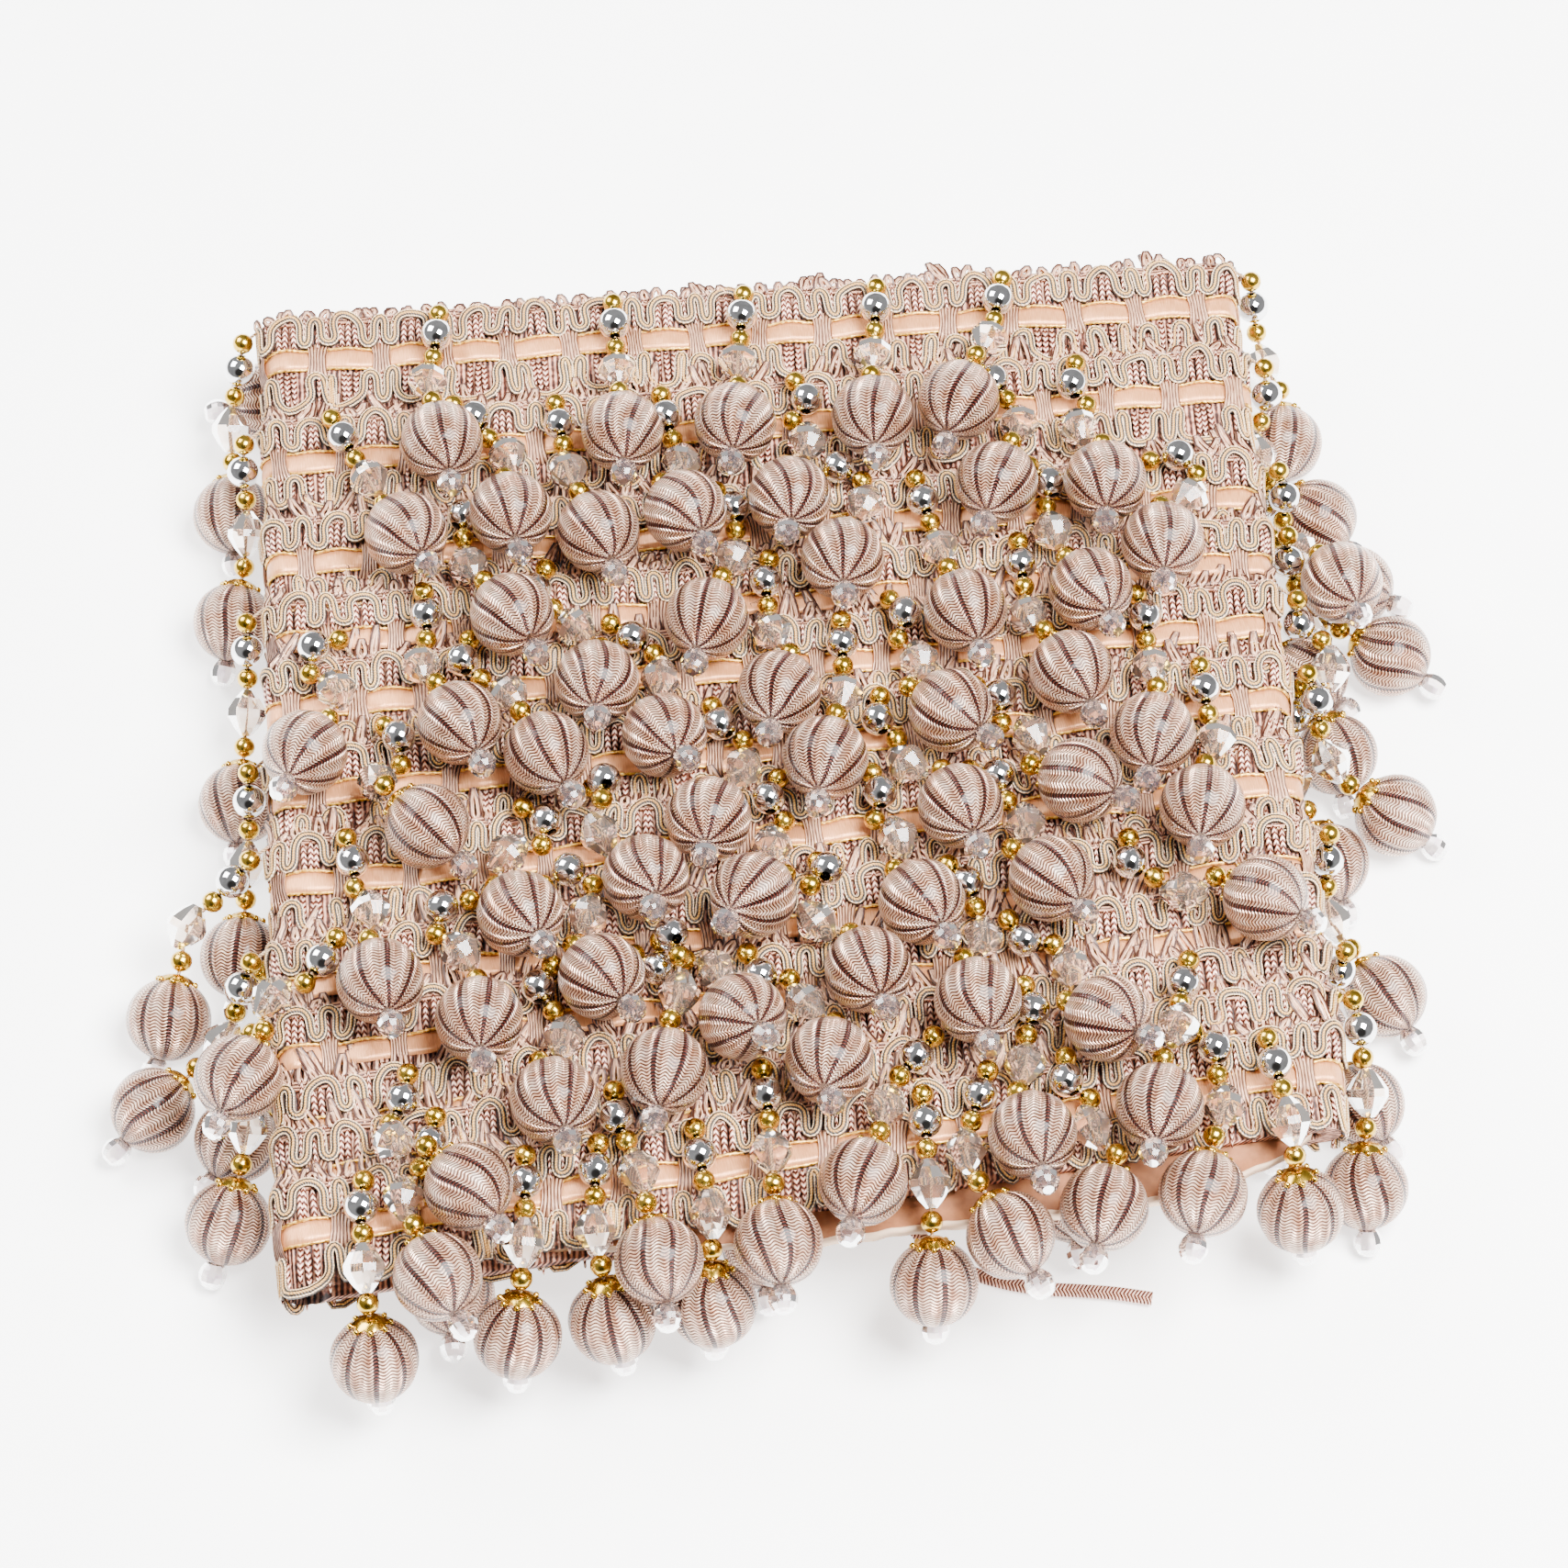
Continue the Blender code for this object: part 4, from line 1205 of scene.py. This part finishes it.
def add_light(name, place, size, power, colour=(1.0, 1.0, 1.0)):
    """A soft square light that faces the middle of the bundle."""
    data = bpy.data.lights.new(name, "AREA")
    data.shape = "SQUARE"
    data.size = size
    data.energy = power
    data.color = colour
    light = bpy.data.objects.new(name, data)
    ahead = (Vector(CAMERA_TARGET) - Vector(place)).normalized()
    light.matrix_world = Matrix.Translation(place) @ ahead.to_track_quat("-Z", "Y").to_matrix().to_4x4()
    bpy.context.scene.collection.objects.link(light)


def add_studio():
    """A pale floor, an even pale surround and soft lights."""
    mesh = bpy.data.meshes.new("floor")
    half = 3.0
    mesh.from_pydata([(-half, -half, 0), (half, -half, 0), (half, half, 0), (-half, half, 0)], [],
                     [(0, 1, 2, 3)])
    mesh.materials.append(floor_finish())
    mesh.uv_layers.new(name="strand")
    floor = bpy.data.objects.new("floor", mesh)
    bpy.context.scene.collection.objects.link(floor)
    world = bpy.data.worlds.new("studio")
    world.use_nodes = True
    tree = world.node_tree
    place = tree.nodes.new("ShaderNodeTexCoord")
    facing = tree.nodes.new("ShaderNodeVectorMath")
    facing.operation = "DOT_PRODUCT"
    facing.inputs[1].default_value = DARK_TOWARDS
    ramp = tree.nodes.new("ShaderNodeValToRGB")
    bar = ramp.color_ramp.elements
    bar[0].position = 0.8
    bar[0].color = (1.0, 0.99, 0.98, 1.0)
    bar[1].position = 0.92
    bar[1].color = (0.12, 0.11, 0.1, 1.0)
    tree.links.new(place.outputs["Generated"], facing.inputs[0])
    tree.links.new(facing.outputs["Value"], ramp.inputs["Fac"])
    tree.links.new(ramp.outputs["Color"], tree.nodes["Background"].inputs["Color"])
    tree.nodes["Background"].inputs["Strength"].default_value = 0.38
    bpy.context.scene.world = world
    add_light("front_right", (0.45, -0.2, 1.15), 0.65, 108.0)
    add_light("back_left", (-0.75, 0.5, 0.9), 0.7, 30.0)


def make_heading(places):
    """Every piece of the heading, front and back."""
    kinds = (
        ("gimp", make_gimp, gimp_finish()),
        ("lurex_fingers", make_fingers, lurex_finish("lurex_braid", 0.66)),
        # In each thread finish the first colour is the thread's own and the second is painted shade in
        # the gaps between its threads.
        ("thread_bundles", make_bundles,
         thread_finish("silky_thread", 6, (224, 178, 146), (84, 46, 30))),
        ("edge_loops", make_loops, thread_finish("chain_thread", 1, (234, 190, 160), (62, 28, 16))),
        ("edge_braid", make_edge, thread_finish("edge_thread", 3, (206, 154, 124), (62, 28, 18))),
        ("satin_ribbon", make_ribbon, satin_finish()),
        ("gold_picots", make_picots, gold_edge_finish()),
    )
    fringes = [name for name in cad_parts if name.startswith("fringe_")]
    for name, make, finish in kinds:
        for place, shapes in make(places).items():
            piece = shapes.piece(f"{name}_{place}", finish)
            extra = fringes if name == "edge_braid" else ()
            settle_piece(piece, "braid", "heading_wound", *extra)
    ground = make_ground().piece("ground_braid", ground_finish())
    settle_piece(ground, "braid", "heading_wound")


def make_drops():
    """The beads and balls of every drop, gathered by the side that they hang on."""
    drops = lay_out()
    stations = settle(drops)
    draw = np.random.default_rng(SEED + 6)
    ball = ball_finish()
    gold = metal_finish("gold_plate", (164, 128, 30), (212, 176, 72), 0.2)
    silver = metal_finish("silver_plate", (206, 206, 208), (232, 232, 234), 0.05, True)
    clear = clear_finish("clear_plastic", (236, 214, 194), 0.02)
    tips = clear_finish("tip_plastic", (204, 192, 200), 0.04)
    string = string_finish()
    for place in ("front", "left", "right", "back"):
        mine = [i for i, drop in enumerate(drops) if drop[0].split("_")[1] == place]
        nodes = sorted({drops[i][0] for i in mine})
        set_here = stations[mine]
        back = place == "back"
        pieces = (
            ("balls", ball_shapes(set_here, 20 if back else 30, 12 if back else 19, draw), ball,
             "wrapped_thread", True),
            ("caps", cap_shapes(set_here, 16), gold, "gold_bead", True),
            ("gold_beads", bead_shapes(set_here, GOLD_STATIONS,
                                       round_outline(2.62, 5 if back else 7, 0.97),
                                       8 if back else 12, draw), gold, "gold_bead", True),
            ("silver_beads", bead_shapes(set_here, (SILVER,), round_outline(4.0, 7 if back else 10),
                                         10 if back else 16, draw), silver, "silver_bead", True),
            ("crystals", bead_shapes(set_here, (CRYSTAL,), CRYSTAL_OUTLINE, 10, draw), clear,
             "clear_bead", False),
            ("tips", bead_shapes(set_here, (len(STATIONS) - 1,), TIP_OUTLINE, 12, draw), tips,
             "clear_bead", False),
            ("strings", string_shapes(set_here), string, "wrapped_thread", True),
        )
        for name, shapes, finish, slot, smooth in pieces:
            settle_piece(shapes.piece(f"{name}_{place}", finish, smooth), slot, *nodes)


def main():
    """Dresses the frame."""
    add_camera()
    make_tie(lurex_finish("tie_lurex", 1.2))
    places = {"front": (-FRONT_END, FRONT_END, 7), "back": (FRONT_END, BACK_END, 3)}
    make_heading(places)
    make_drops()
    card = make_card().piece("card_sheet", board_finish())
    settle_piece(card, "board", "card")
    add_studio()


main()
